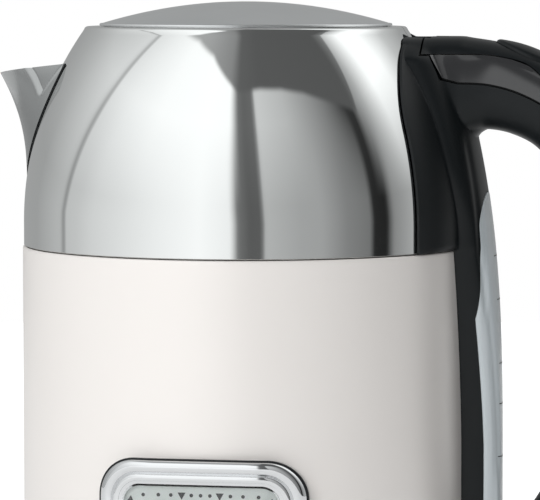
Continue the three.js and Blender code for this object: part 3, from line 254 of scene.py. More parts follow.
def relaxed(mesh: bpy.types.Mesh, weight: Callable, rounds: int) -> bpy.types.Mesh:
    """Softens a mesh: each point moves towards the mean of its neighbours, by its weight.

    Args:
        mesh: The mesh to soften in place.
        weight: Gives each point's share from 0 to 1, from the points in millimetres.
        rounds: How many times the points move.

    Returns:
        The same mesh.
    """
    count = len(mesh.vertices)
    points = np.empty(count * 3)
    mesh.vertices.foreach_get("co", points)
    points = points.reshape(-1, 3)
    edges = np.empty(len(mesh.edges) * 2, int)
    mesh.edges.foreach_get("vertices", edges)
    a, b = edges.reshape(-1, 2).T
    share = weight(points / MM)[:, None]
    degree = np.bincount(np.concatenate([a, b]), minlength=count)[:, None]
    for step in range(rounds):
        total = np.zeros_like(points)
        np.add.at(total, a, points[b])
        np.add.at(total, b, points[a])
        pull = SHRINK if step % 2 == 0 else -REGROW
        points += pull * share * (total / degree - points)
    mesh.vertices.foreach_set("co", points.ravel())
    mesh.update()
    return mesh


# ------------------------------------------------------------------ finishes


class Slot(Enum):
    """The record's material slots."""

    STEEL = "polished_steel"
    SATIN = "brushed_steel"
    CHROME = "chrome_trim"
    PAINT = "cream_paint"
    BLACK = "black_plastic"
    GLOSS = "gloss_black"
    RUBBER = "rubber"
    SILICONE = "silicone"
    BRASS = "brass"
    DIFFUSER = "diffuser_aluminium"
    FASTENER = "fastener_steel"
    GLASS = "clear_glass"
    WINDOW = "window_plastic"
    DIAL = "dial_white"
    NEEDLE = "needle_paint"


@dataclass(frozen=True)
class Finish:
    """One material: its colour and gloss, and how they vary over the surface."""

    slot: Slot
    colour: tuple[float, float, float]
    roughness: float
    metallic: float = 0.0
    drift: float = 0.04  # how far the colour wanders
    drift_size: float = 60.0
    smudge: float = 0.05  # how far the roughness wanders
    smudge_size: float = 35.0
    grain: float = 0.0  # height of the fine grain, in millimetres
    grain_size: float = 900.0
    stretch: tuple[float, float, float] = (1.0, 1.0, 1.0)  # the grain's scale on each axis
    coat: float = 0.0
    coat_roughness: float = 0.1
    specular: float = 0.5
    ior: float = 1.5
    transmission: float = 0.0
    wear: float = 0.0  # brightening along edges


BEAK = "shaded_steel"  # the beak's steel, painted darker than the satin to stand for the shade it reflects, in the satin slot
FINISHES = {
    finish.slot.value: finish
    for finish in (
        Finish(Slot.STEEL, (0.78, 0.79, 0.785), 0.045, 1, 0.015, 30, 0.02, 18, 0.0004, 240,
               (1, 1, 0.25)),
        Finish(Slot.SATIN, (0.78, 0.795, 0.8), 0.3, 1, 0.05, 40, 0.06, 25, 0.004, 300, (0.05, 5, 5)),
        Finish(Slot.CHROME, (0.74, 0.75, 0.76), 0.035, 1, 0.01, 40, 0.025, 30),
        Finish(Slot.PAINT, (0.8, 0.764, 0.738), 0.4, 0.25, 0.02, 18, 0.05, 14, 0.003, 420,
               coat=0.25, coat_roughness=0.22),
        Finish(Slot.BLACK, (0.0052, 0.0068, 0.0078), 0.38, 0, 0.12, 30, 0.07, 22, 0.006, 1300,
               specular=0.24, wear=0.004),
        Finish(Slot.GLOSS, (0.026, 0.0265, 0.028), 0.1, 0, 0.05, 30, 0.04, 25,
               coat=0.6, coat_roughness=0.04),
        Finish(Slot.RUBBER, (0.022, 0.022, 0.022), 0.75, 0, 0.2, 60, 0.1, 40, 0.02, 900),
        Finish(Slot.SILICONE, (0.62, 0.62, 0.58), 0.5, 0, 0.06, 50, 0.1, 30, 0.006, 700,
               transmission=0.1),
        Finish(Slot.BRASS, (0.78, 0.57, 0.25), 0.28, 1, 0.1, 90, 0.12, 60, 0.003, 600, (1, 1, 0.1)),
        Finish(Slot.DIFFUSER, (0.66, 0.66, 0.66), 0.42, 1, 0.08, 60, 0.12, 50, 0.006, 500),
        Finish(Slot.FASTENER, (0.6, 0.6, 0.58), 0.32, 1, 0.1, 120, 0.12, 90, 0.004, 900, wear=0.1),
        Finish(Slot.GLASS, (0.95, 0.97, 0.97), 0.02, 0, 0.0, 30, 0.01, 25, ior=1.46, transmission=1.0),
        Finish(Slot.WINDOW, (0.62, 0.67, 0.7), 0.22, 0, 0.05, 24, 0.06, 18, 0.002, 300,
               coat=0.3, coat_roughness=0.1, ior=1.49, transmission=0.12),
        Finish(Slot.DIAL, (0.74, 0.765, 0.745), 0.45, 0, 0.02, 40, 0.05, 30, 0.003, 500),
        Finish(Slot.NEEDLE, (0.5, 0.028, 0.018), 0.35, 0, 0.06, 90, 0.08, 60),
    )
}
# Painted shade: the beak's base colour is darkened to stand for the dark reflections it shows.
FINISHES[BEAK] = Finish(Slot.SATIN, (0.42, 0.43, 0.43), 0.2, 1, 0.03, 40, 0.04, 25, 0.0008, 300,
                        (5, 5, 0.05))


@dataclass
class Graph:
    """A node tree that is being filled."""

    tree: bpy.types.NodeTree

    def add(self, kind: str, settings: dict | None = None,
            sockets: dict | None = None) -> bpy.types.Node:
        """Adds a node.

        Args:
            kind: The node's type.
            settings: Properties to set on it.
            sockets: Values or other nodes' outputs, by input name or number.

        Returns:
            The new node.
        """
        node = self.tree.nodes.new(kind)
        for name, value in (settings or {}).items():
            setattr(node, name, value)
        for name, value in (sockets or {}).items():
            if isinstance(value, bpy.types.NodeSocket):
                self.tree.links.new(value, node.inputs[name])
            else:
                node.inputs[name].default_value = value
        return node

    def math(self, operation: str, *values: float | bpy.types.NodeSocket) -> bpy.types.NodeSocket:
        """The result of a Math node on one to three values."""
        sockets = dict(enumerate(values))
        return self.add("ShaderNodeMath", {"operation": operation}, sockets).outputs[0]


def new_group(name: str, inputs: dict[str, str],
              outputs: dict[str, str]) -> tuple[Graph, dict, bpy.types.Node]:
    """An empty shader node group.

    Args:
        name: The group's name.
        inputs: Socket type for each input's name.
        outputs: Socket type for each output's name.

    Returns:
        Its graph, its input sockets by name, and the node that its results feed.
    """
    tree = bpy.data.node_groups.new(name, "ShaderNodeTree")
    for direction, sockets in (("INPUT", inputs), ("OUTPUT", outputs)):
        for label, kind in sockets.items():
            tree.interface.new_socket(label, in_out=direction, socket_type=kind)
    graph = Graph(tree)
    entry = graph.add("NodeGroupInput")
    return graph, {label: entry.outputs[label] for label in inputs}, graph.add("NodeGroupOutput")


COLOUR, NUMBER, VECTOR = "NodeSocketColor", "NodeSocketFloat", "NodeSocketVector"


def drift_group() -> bpy.types.NodeTree:
    """Colour that wanders by Amount, over patches whose number per metre is Size."""
    graph, given, result = new_group(
        "colour_drift", {"Colour": COLOUR, "Amount": NUMBER, "Size": NUMBER}, {"Colour": COLOUR})
    place = graph.add("ShaderNodeTexCoord").outputs["Object"]
    noise = graph.add("ShaderNodeTexNoise", None,
                      {"Vector": place, "Scale": given["Size"], "Detail": 4.0, "Roughness": 0.6})
    swing = graph.math("MULTIPLY_ADD", noise.outputs["Fac"], 2.0, -1.0)
    value = graph.math("MULTIPLY_ADD", swing, given["Amount"], 1.0)
    shade = graph.add("ShaderNodeHueSaturation", None, {"Value": value, "Color": given["Colour"]})
    graph.tree.links.new(shade.outputs[0], result.inputs["Colour"])
    return graph.tree


def smudge_group() -> bpy.types.NodeTree:
    """Roughness that wanders by Amount about its middle, with faint handling marks."""
    graph, given, result = new_group(
        "handling_marks", {"Roughness": NUMBER, "Amount": NUMBER, "Size": NUMBER}, {"Roughness": NUMBER})
    place = graph.add("ShaderNodeTexCoord").outputs["Object"]
    broad = graph.add("ShaderNodeTexNoise", None,
                      {"Vector": place, "Scale": given["Size"], "Detail": 5.0, "Roughness": 0.65,
                       "Distortion": 0.4})
    swing = graph.math("SUBTRACT", broad.outputs["Fac"], 0.5)
    value = graph.math("MULTIPLY_ADD", swing, given["Amount"], given["Roughness"])
    graph.tree.links.new(graph.math("MAXIMUM", value, 0.0), result.inputs["Roughness"])
    return graph.tree


def grain_group() -> bpy.types.NodeTree:
    """A fine grain or brushed lines: noise on stretched Object coordinates, put out as a normal."""
    graph, given, result = new_group(
        "fine_grain", {"Height": NUMBER, "Size": NUMBER, "Stretch": VECTOR}, {"Normal": VECTOR})
    place = graph.add("ShaderNodeTexCoord").outputs["Object"]
    pulled = graph.add("ShaderNodeVectorMath", {"operation": "MULTIPLY"},
                       {0: place, 1: given["Stretch"]})
    noise = graph.add("ShaderNodeTexNoise", None,
                      {"Vector": pulled.outputs[0], "Scale": given["Size"], "Detail": 3.0})
    high = graph.math("MULTIPLY", noise.outputs["Fac"], given["Height"])
    bump = graph.add("ShaderNodeBump", None, {"Strength": 1.0, "Distance": 1.0, "Height": high})
    graph.tree.links.new(bump.outputs[0], result.inputs["Normal"])
    return graph.tree


def wear_group() -> bpy.types.NodeTree:
    """Colour lifted by Amount where the surface is convex, as handled edges are."""
    graph, given, result = new_group(
        "edge_wear", {"Colour": COLOUR, "Amount": NUMBER}, {"Colour": COLOUR})
    bend = graph.add("ShaderNodeNewGeometry").outputs["Pointiness"]
    mask = graph.add("ShaderNodeMapRange", None, {"Value": bend, 1: 0.53, 2: 0.62, 3: 0.0, 4: 1.0})
    lift = graph.math("MULTIPLY", mask.outputs[0], given["Amount"])
    brighter = graph.add("ShaderNodeMix", {"data_type": "RGBA", "blend_type": "ADD"},
                         {"Factor": lift, 6: given["Colour"], 7: (1, 1, 1, 1)})
    graph.tree.links.new(brighter.outputs[2], result.inputs["Colour"])
    return graph.tree


@dataclass
class Workshop:
    """Makes each finish's material once, from the shared groups."""

    groups: dict[str, bpy.types.NodeTree] = field(default_factory=dict)
    materials: dict[str, bpy.types.Material] = field(default_factory=dict)

    def __post_init__(self) -> None:
        """Builds the shared groups and every material."""
        self.groups = {"drift": drift_group(), "smudge": smudge_group(), "grain": grain_group(),
                       "wear": wear_group()}
        self.materials = {name: self.material(name, finish) for name, finish in FINISHES.items()}

    def material(self, name: str, finish: Finish) -> bpy.types.Material:
        """The material of one finish."""
        made = bpy.data.materials.new(f"{name}_finish")
        made.use_nodes = True
        graph = Graph(made.node_tree)
        shader = made.node_tree.nodes["Principled BSDF"]
        fixed = {"Metallic": finish.metallic, "Coat Weight": finish.coat, "IOR": finish.ior,
                 "Coat Roughness": finish.coat_roughness, "Specular IOR Level": finish.specular,
                 "Transmission Weight": finish.transmission}
        for name, value in fixed.items():
            shader.inputs[name].default_value = value
        links = made.node_tree.links
        colour = self.use(graph, "drift", {"Colour": (*finish.colour, 1), "Amount": finish.drift,
                                           "Size": finish.drift_size})
        if finish.wear:
            colour = self.use(graph, "wear", {"Colour": colour, "Amount": finish.wear})
        links.new(colour, shader.inputs["Base Color"])
        links.new(self.use(graph, "smudge", {"Roughness": finish.roughness, "Amount": finish.smudge,
                                             "Size": finish.smudge_size}), shader.inputs["Roughness"])
        if finish.grain:
            normal = self.use(graph, "grain", {"Height": finish.grain * MM, "Size": finish.grain_size,
                                               "Stretch": finish.stretch})
            links.new(normal, shader.inputs["Normal"])
        return made

    def use(self, graph: Graph, group: str, sockets: dict) -> bpy.types.NodeSocket:
        """Places a shared group in a material and gives its first output."""
        node = graph.add("ShaderNodeGroup", {"node_tree": self.groups[group]}, sockets)
        return node.outputs[0]

    def dress(self, item: bpy.types.Object, name: str) -> None:
        """Gives an object one finish alone."""
        item.data.materials.clear()
        item.data.materials.append(self.materials[name])

    def piece(self, name: str, shape: Skin | bpy.types.Mesh, body: str, slot: Slot,
              stands_for: Sequence[str] = (), bevel: float = 0.0) -> bpy.types.Object:
        """A finished piece of the kettle.

        Args:
            name: The piece's name.
            shape: Its surface.
            body: The CAD body that it rides on.
            slot: Its finish.
            stands_for: CAD nodes that it replaces.
            bevel: Width of a rounded edge, in millimetres; 0 for none.

        Returns:
            The object.
        """
        mesh = shape if isinstance(shape, bpy.types.Mesh) else mesh_from(shape)
        item = linked(name, mesh)
        mesh.name = name
        if bevel:
            edge = item.modifiers.new("edge", "BEVEL")
            edge.width = bevel * MM
            edge.segments = 3
            edge.limit_method = "ANGLE"
            edge.angle_limit = BEVEL_ANGLE
            edge.harden_normals = True
        mesh.shade_smooth()
        if not bevel:
            mesh.set_sharp_from_angle(angle=SHARP_ANGLE)
        self.dress(item, slot.value)
        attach(item, body)
        if stands_for:
            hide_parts(*stands_for)
        log.info("%s: %d faces on %s", name, len(mesh.polygons), body)
        return item


# ------------------------------------------------------------------ vessel


@dataclass
class Vessel:
    """The bright dome, the painted sleeve, the skirt and the lid, all turned about Z."""

    radius: float = -corners_mm("body_shell")[0][0]
    sleeve_radius: float = -corners_mm("painted_sleeve")[0][0]
    shoulder_z: float = corners_mm("painted_sleeve")[1][2]
    sleeve_foot_z: float = corners_mm("painted_sleeve")[0][2]
    shelf_z: float = corners_mm("body_shell")[1][2]
    skirt_foot_z: float = corners_mm("skirt_ring")[0][2]
    skirt_radius: float = corners_mm("skirt_ring")[1][0]
    straight_rise: float = 8.3
    arc: float = 115.7
    wall: float = 0.8
    shelf_rise: float = 1.4
    shelf_width: float = 5.0
    lip_depth: float = 9.0
    sleeve_wall: float = 1.1
    lid_crown: float = 7.8
    lid_overlap: float = 1.5
    tongue_half: float = 3.6  # half width of the rim's tongue over the lid's arm

    @property
    def dome_top_z(self) -> float:
        """Where the dome's arc ends under the shelf."""
        return self.shelf_z - self.shelf_rise

    @property
    def top_radius(self) -> float:
        """The dome's radius where its arc ends."""
        return float(self.dome(self.dome_top_z))

    @property
    def mouth_radius(self) -> float:
        """Radius of the hole under the lid."""
        return self.top_radius - self.shelf_width - 2

    @property
    def hidden_radius(self) -> float:
        """Radius of the steel behind the sleeve."""
        return self.sleeve_radius - self.sleeve_wall - GAP

    def dome(self, z: np.ndarray | float) -> np.ndarray:
        """Outside radius of the bright wall: straight, then a circular arc inwards."""
        rise = np.maximum(0, np.asarray(z) - self.shoulder_z - self.straight_rise)
        return self.radius - self.arc + np.sqrt(self.arc**2 - rise**2)

    def wall_profile(self) -> list[tuple[float, float]]:
        """The steel wall's closed outline: outside, rolled rim, shelf, lip, and back down inside."""
        start, end = self.shoulder_z + self.straight_rise, self.dome_top_z
        z = np.linspace(start, end, 64)
        straight = np.linspace(self.shoulder_z + 2 * GAP, start, 6)[:-1]
        outside = [(self.radius, s) for s in straight] + list(zip(self.dome(z), z))
        inside = list(zip(self.dome(z) - self.wall, z - 0.6 * self.wall * np.linspace(0, 1, 64)))[::-1]
        turn = np.linspace(0.35, np.pi / 2, 7)
        roll = [(self.top_radius - 1.5 + 1.3 * np.cos(a), end + 0.1 + 1.3 * np.sin(a)) for a in turn]
        mouth, shelf, lip = self.mouth_radius, self.shelf_z, self.shelf_z - self.lip_depth
        foot, hidden = self.sleeve_foot_z + 2, self.hidden_radius
        return [(hidden, foot), (hidden, self.shoulder_z), *outside, *roll,
                (mouth + 0.6, shelf), (mouth + 0.15, shelf - 0.15), (mouth, shelf - 0.6), (mouth, lip),
                (mouth + self.wall, lip), (mouth + self.wall, shelf - self.wall),
                (self.top_radius - 2, shelf - self.wall), *inside,
                (self.radius - self.wall, self.shoulder_z + 1),
                (hidden - self.wall, self.shoulder_z + 0.4), (hidden - self.wall, foot)]

    def build(self, shop: Workshop, spout: "Spout", handle: "Handle") -> None:
        """Makes the vessel's turned pieces and the sleeve."""
        low_z, high_z = corners_mm("hinge_bracket")[0][2], self.shelf_z + 1
        half = self.tongue_half
        steel = mesh_from(turned(self.wall_profile(), 288))
        slot = block((self.mouth_radius - 2, -half - GAP, low_z), (self.radius, half + GAP, high_z))
        wall = carve(steel, (Cut.AWAY, slot), (Cut.AWAY, spout.port()))
        tongue = block((self.mouth_radius + 1.6, -half, low_z + 10), (self.radius, half, high_z))
        shop.piece("rim_tongue", carve(steel, (Cut.COMMON, tongue)), "lid", Slot.STEEL)
        shop.piece("bright_wall", wall, "kettle", Slot.STEEL, ["body_shell"])
        shop.piece("enamel_sleeve", self.sleeve(handle), "kettle", Slot.PAINT, ["painted_sleeve"])
        r, foot, top = self.radius, self.skirt_foot_z, self.sleeve_foot_z - GAP
        flare = self.skirt_radius
        bulge = [(flare - 0.8 + 0.8 * math.sin(a), foot + 0.9 - 0.9 * math.cos(a))
                 for a in np.linspace(0, np.pi / 2, 6)]
        curve = [(mix(flare, r + 0.35, s * s * (3 - 2 * s)), mix(foot + 5, top - 3, s))
                 for s in np.linspace(0, 1, 14)]
        skirt = [(r - 1, foot), *bulge, *curve, (r + 0.35, top - 0.3), (r + 0.1, top), (r - 1.2, top),
                 (r - 1.2, foot + 11), (r - 1, foot + 6)]
        shop.piece("bright_skirt", turned(skirt, 216), "kettle", Slot.CHROME, ["skirt_ring"])

    def sleeve(self, handle: "Handle") -> Skin:
        """The painted sleeve: it wraps the steel from one side of the handle's slot to the other.

        The slot's half angle at height z is asin((column half width + gap) / radius).
        """
        top, foot = self.shoulder_z, self.sleeve_foot_z
        z = np.concatenate([[foot, foot + 0.25], np.linspace(foot + 0.6, top - 0.75, 120),
                            [top - 0.42, top - 0.2, top - 0.06, top]])
        edge = np.concatenate([[-0.3, -0.08], np.zeros(120), [-0.03, -0.12, -0.28, -0.5]])
        share = np.linspace(0, 1, 241)
        slot = np.arcsin((handle.column_half(z) + GAP + 0.1) / self.sleeve_radius)
        closed = smoothstep(z, handle.foot_z - 0.7, handle.foot_z - 0.5)
        start = (slot * closed)[:, None]
        angle = start + (2 * np.pi - 2 * start) * share
        def ring(radius: np.ndarray) -> np.ndarray:
            """One face of the sleeve at the given radii."""
            r = radius[:, None]
            return np.stack(np.broadcast_arrays(r * np.cos(angle), r * np.sin(angle), z[:, None]), -1)
        outer = ring(self.sleeve_radius + edge)
        inner = ring(np.full(len(z), self.sleeve_radius - self.sleeve_wall))
        return shell(outer, inner)


@dataclass
class Lid:
    """The satin lid cap with its plug, seal and arm below."""

    vessel: Vessel
    wall: float = 1.0
    plug_clearance: float = 3.5

    def height(self, r: np.ndarray | float) -> np.ndarray:
        """The cap's outer face: a shallow paraboloid."""
        edge = self.vessel.mouth_radius + self.vessel.lid_overlap
        rim = self.vessel.shelf_z + GAP + 0.5
        return rim + self.vessel.lid_crown * (1 - (np.asarray(r) / edge) ** 2)

    def build(self, shop: Workshop) -> None:
        """Makes the cap, the plug and its seal."""
        v = self.vessel
        edge = v.mouth_radius + v.lid_overlap
        rim = v.shelf_z + GAP
        r = np.linspace(0, edge - 0.8, 40)
        outer = list(zip(r, self.height(r)))
        inner = list(zip(np.minimum(r, edge - 1.2), self.height(r) - self.wall))[::-1]
        fold = [(edge - 0.35, rim + 0.78), (edge - 0.08, rim + 0.55), (edge, rim + 0.25),
                (edge - 0.1, rim + 0.03), (edge - 0.4, rim), (edge - 1.2, rim)]
        shop.piece("lid_dome", turned([*outer, *fold, *inner], 216), "lid", Slot.SATIN, ["lid_cap"])
        plug = v.mouth_radius - self.plug_clearance
        top, low = v.shelf_z - 1.7, v.shelf_z - v.lip_depth - 0.7
        cup = [(0, low + 2), (plug - 8, low + 2), (plug - 6.6, low + 0.6), (plug - 5, low),
               (plug - 1.5, low), (plug - 0.4, low + 0.6), (plug, low + 2), (plug, top), (plug - 2, top),
               (plug - 2, low + 4.5), (0, low + 4.5)]
        shop.piece("lid_plug", turned(cup, 144), "lid", Slot.BLACK, ["lid_inner"], bevel=0.3)
        shelf = v.shelf_z
        lips = [(plug + GAP, shelf - 3.6), (plug + 1.2, shelf - 3.4), (plug + 1.5, shelf - 3.0),
                (plug + 1.5, shelf - 2.2), (plug + 1.2, shelf - 1.9), (plug + GAP, shelf - 1.8)]
        shop.piece("lid_gasket", turned(lips, 144), "lid", Slot.SILICONE, ["lid_seal"])


# ------------------------------------------------------------------ spout


@dataclass
class Spout:
    """The pouring beak: a pointed foot that opens to a wide rim, set against the dome."""

    vessel: Vessel
    foot_rise: float = 20.5
    tip_rise: float = 59.5
    root_rise: float = 63.3
    reach: float = 10.6
    wall: float = 1.0
    half_angle: float = 23.0
    gusset_depth: float = 0.75
    standoff: float = 0.35  # beak's root off the dome
    # width of the strip of painted shade beside the beak's root
    seal_width: float = 2.2
    port_rise: tuple[float, float] = (29, 57.5)  # of the hole's foot and top above the shoulder
    port_angle: tuple[float, float] = (10.5, 18.5)  # half angle at its foot and top

    def half(self, v: np.ndarray) -> np.ndarray:
        """Half angle of the beak's root at v, opening from a narrow foot."""
        return np.radians(mix(3, self.half_angle, np.sin(np.pi / 2 * v**0.75) ** 1.15))

    def gusset(self, across: np.ndarray, v: np.ndarray) -> np.ndarray:
        """Depth of the pressed V at each side: a steep-sided facet between two lines that meet low."""
        rise = np.clip((v - 0.74) / 0.26, 0, 1)
        left, right = mix(0.86, 0.6, rise), mix(0.86, 0.985, rise)
        inside = smoothstep(across - left, -0.012, 0.028) * smoothstep(right - across, -0.012, 0.028)
        groove = 0.8 * np.exp(-(((across - left - 0.02) / 0.015) ** 2))
        ridges = 0.3 * np.exp(-(((across - left + 0.03) / 0.018) ** 2)) \
            + 0.3 * np.exp(-(((across - right - 0.01) / 0.016) ** 2))
        return (self.gusset_depth * inside + groove - ridges) * smoothstep(rise, 0, 0.14)

    def point(self, u: np.ndarray, v: np.ndarray, inset: float) -> tuple[np.ndarray, ...]:
        """A place on the beak, u across from -1 to 1 and v up from foot to rim.

        The section across is 1 - |u|^1.35 of the beak's reach, less the pressed V at each side.
        """
        vessel = self.vessel
        across = np.abs(u)
        rim = mix(self.tip_rise, self.root_rise, across**1.2)
        z = vessel.shoulder_z + mix(self.foot_rise, rim, v)
        seam = vessel.dome(z) + self.standoff
        y = u * seam * np.sin(self.half(v) - inset / vessel.radius)
        root = np.sqrt(seam**2 - y**2)
        front = vessel.radius + 0.2 + (self.reach - 0.2) * v**2.2
        far = np.maximum(0.9, front - seam) - inset
        x = root + np.maximum(0.05, far) * (1 - across**1.35) + (0 if inset else 0.25)
        return -(x - self.gusset(across, v)), y, z

    def seal(self, side: int) -> Skin:
        """A dark strip of painted shade between the beak's root and the dome, along one side: it stands
        for the shadowed seam.
        """
        def face(lift: float) -> np.ndarray:
            """The strip's face at a lift off the dome."""
            def place(u: np.ndarray, v: np.ndarray) -> tuple[np.ndarray, ...]:
                """A point of the strip."""
                z = self.vessel.shoulder_z + mix(self.foot_rise, self.root_rise, v)
                r = self.vessel.dome(z) + lift
                angle = np.pi + side * (self.half(v) - (1 - u) * self.seal_width / r)
                return r * np.cos(angle), r * np.sin(angle), z
            return place
        steps = (6, 72)
        return shell(surface(face(self.standoff - 0.04), *steps), surface(face(0.03), *steps))

    def build(self, shop: Workshop) -> None:
        """Makes the beak and the strips of painted shade beside its root."""
        outer = surface(lambda u, v: self.point(2 * u - 1, v, 0), 208, 110)
        inner = surface(lambda u, v: self.point(2 * u - 1, v, self.wall), 208, 110)
        beak = shop.piece("pouring_beak", shell(outer, inner), "kettle", Slot.SATIN, ["spout"])
        # the darker steel on the beak is painted shade
        shop.dress(beak, BEAK)
        for name, side in SIDES.items():
            # dark strips painted as the shade in the seam between the beak and the dome
            shop.piece(f"beak_seam_shade_{name}", self.seal(side), "kettle", Slot.BLACK)

    def port(self) -> Skin:
        """The pouring hole through the dome behind the beak."""
        vessel = self.vessel
        def face(offset: float) -> np.ndarray:
            """The hole's outline at a distance off the dome."""
            def place(u: np.ndarray, v: np.ndarray) -> tuple[np.ndarray, ...]:
                """A point of the hole."""
                z = vessel.shoulder_z + mix(*self.port_rise, v)
                angle = np.pi + np.radians(mix(*self.port_angle, v)) * (2 * u - 1)
                r = vessel.dome(z) + offset
                return r * np.cos(angle), r * np.sin(angle), z
            return surface(place, 16, 12)
        return shell(face(4), face(-6))


# ------------------------------------------------------------------ handle


@dataclass
class Spline:
    """A centripetal Catmull-Rom curve through knots of any dimension."""

    knots: np.ndarray

    def at(self, t: np.ndarray | float) -> np.ndarray:
        """Places on the curve, t from 0 at the first knot to 1 at the last."""
        k = self.knots
        padded = np.vstack([2 * k[0] - k[1], k, 2 * k[-1] - k[-2]])
        place = np.clip(np.asarray(t, float), 0, 1) * (len(k) - 1)
        span = np.minimum(np.floor(place).astype(int), len(k) - 2)
        share = (place - span)[..., None]
        p0, p1, p2, p3 = (padded[span + shift] for shift in range(4))
        d0, d1, d2 = (np.linalg.norm(b - a, axis=-1, keepdims=True) ** 0.5
                      for a, b in ((p0, p1), (p1, p2), (p2, p3)))
        leave = ((p1 - p0) / d0 - (p2 - p0) / (d0 + d1) + (p2 - p1) / d1) * d1
        reach = ((p2 - p1) / d1 - (p3 - p1) / (d1 + d2) + (p3 - p2) / d2) * d1
        square = -3 * p1 + 3 * p2 - 2 * leave - reach
        cube = 2 * p1 - 2 * p2 + leave + reach
        return p1 + share * (leave + share * (square + share * cube))


FAR = 40.0  # well clear of the handle's sides
LOOP_LENGTH = 300.0  # about the loop's length, for turning a distance into a share of it
WINDOW_MARGIN = 1.3  # plastic left on each side of the window
BUTTON_CLEARANCE = 0.9


@dataclass
class Handle:
    """The black handle: a column through the sleeve, a saddle on the dome, a collar and a loop."""

    vessel: Vessel
    foot_z: float = 44.0
    waist: float = 8.6
    shoulder: float = 18.0
    taper: float = 69.0
    spine: float = 12.9
    saddle_angle: float = 31.5
    flank_spread: float = 5.6
    collar_half: float = 20.5
    collar_rise: float = 72.6
    arm_rise: float = 56.2  # the arm's centreline above the shoulder
    standoff: float = 53.3
    saddle_rise: float = 71.3
    window_half: float = 12.4
    window_rise: float = 19.3  # its top above the shoulder
    window_drop: float = 22.0  # its foot above the handle's foot
    mark_rises: tuple[float, ...] = (-2.7, -17.7, -39.7, -53.7, -72.0)
    button_proud: float = 0.9
    button_skirt: float = 0.7
    cover_end: float = 0.86
    inlay_end: float = 0.235
    button_front: float = 10.4
    button_length: float = 25.0
    button_half: float = 8.5
    button_travel: float = 3.0
    section_power: float = 2.7

    def __post_init__(self) -> None:
        """Works out the loop's stations from the shoulder, the foot and the standoff."""
        top, foot, reach = self.vessel.shoulder_z, self.foot_z, self.standoff
        grip = lambda share: mix(top + 18.3, foot + 54, share)
        stations = np.array([
            [-1.2, top + self.arm_rise, 16.6, 15.5], [9.2, top + 55.9, 15.1, 14.4],
            [20.3, top + 53.1, 14.4, 14], [31.8, top + 46.8, 13.8, 13.8],
            [reach - 11, top + 34.8, 13.2, 13.6],
            [reach - 3.5, top + 18.3, 12.7, 13.4], [reach, grip(0.23), 12.5, 13.2],
            [reach, grip(0.46), 12.3, 13], [reach - 2.5, grip(0.74), 12, 12.6],
            [reach - 7, foot + 54, 11.8, 12], [reach - 15, foot + 34, 11.5, 11.2],
            [reach - 27, foot + 18.5, 11.2, 10.2], [10.8, foot + 11.6, 10.8, 9],
            [3, foot + 10.9, 10.6, 8.2]])
        middle = np.column_stack([self.vessel.radius + stations[:, 0], np.zeros(len(stations)),
                                  stations[:, 1]])
        self.path = Spline(middle)
        self.size = Spline(np.column_stack([stations[:, 2:], np.zeros(len(stations))]))

    @property
    def collar_top_z(self) -> float:
        """Top of the collar."""
        return self.vessel.shoulder_z + self.collar_rise

    @property
    def arm_z(self) -> float:
        """Height of the arm's level part."""
        return self.vessel.shoulder_z + self.arm_rise

    def column_half(self, z: np.ndarray | float) -> np.ndarray:
        """Half width of the column: full at the shoulder, narrowing by a power below it."""
        below = np.maximum(0, self.vessel.shoulder_z - np.asarray(z))
        share = np.maximum(0, 1 - below / self.taper)
        return self.waist + (self.shoulder - self.waist) * share**1.45

    def saddle_half_angle(self, z: np.ndarray | float) -> np.ndarray:
        """Half angle of the saddle, narrowing into the collar by a power of the height."""
        above = np.asarray(z) - self.vessel.shoulder_z
        rise = np.maximum(0, (above - 41.3) / 30)
        corner = 0.66 + 0.34 * superellipse(np.clip((above - 63.5) / 7.8, 0, 1), 2.2)
        return np.radians(self.saddle_angle - 14.2 * rise**2.3) * corner

    def flank_half(self, z: np.ndarray | float) -> np.ndarray:
        """Half width of the column with its flanks: above the shoulder they spread over the saddle."""
        rise = np.asarray(z) - self.vessel.shoulder_z
        spread = self.column_half(z) + self.flank_spread * smoothstep(rise, 0, 34)
        edge = (self.vessel.dome(z) + 1) * np.sin(self.saddle_half_angle(z)) - 0.5
        return np.where(rise > 0, np.minimum(spread, edge), spread)

    def backing(self, z: np.ndarray) -> np.ndarray:
        """Radius of the steel that the handle lies against."""
        low = self.vessel.hidden_radius + GAP
        return np.where(z < self.vessel.shoulder_z, low, self.vessel.dome(z) + GAP + 0.1)

    def column_x(self, y: np.ndarray, z: np.ndarray) -> np.ndarray:
        """The column's outer face: a rounded section that stands on the wall's own curve.

        A shallow groove runs down each side of the spine, next to the window.
        """
        top = self.vessel.shoulder_z
        radius = self.vessel.radius
        edge = np.where(z < top, radius, self.vessel.dome(z) + GAP + 1)
        rise = np.maximum(0, z - (top - 84.7)) / 120.5
        proud = self.spine - 8.4 * rise**3
        half = self.flank_half(z)
        power = 2.6 - 0.5 * smoothstep(z, top, top + 34)
        round_off = superellipse(np.minimum(1, np.abs(y) / half), power)
        beside = np.abs(y) - self.column_half(z) + 4.6
        length = smoothstep(z, 78, 96) * smoothstep(-z, -206, -196)
        groove = 0.7 * np.exp(-((beside / 1.1) ** 2)) * length
        return np.sqrt(edge**2 - y**2) + (radius + proud - edge) * round_off - groove

    def frame_at(self, t: np.ndarray | float) -> tuple[np.ndarray, ...]:
        """Centre, outward normal, half depth and half width of the loop at t."""
        t = np.asarray(t, float)
        centre = self.path.at(t)
        step = 1e-4
        along = self.path.at(np.minimum(1, t + step)) - self.path.at(np.maximum(0, t - step))
        along /= np.linalg.norm(along, axis=-1, keepdims=True)
        outward = np.stack([-along[..., 2], np.zeros_like(t), along[..., 0]], -1)
        size = self.size.at(t)
        return centre, outward, size[..., 0], size[..., 1]

    def beside(self, t: np.ndarray, depth: np.ndarray | float, side: float) -> np.ndarray:
        """Points at a depth and a side distance off the loop's centreline."""
        centre, outward, _, _ = self.frame_at(t)
        points = centre + outward * np.broadcast_to(depth, t.shape)[..., None]
        points[..., 1] += side
        return points

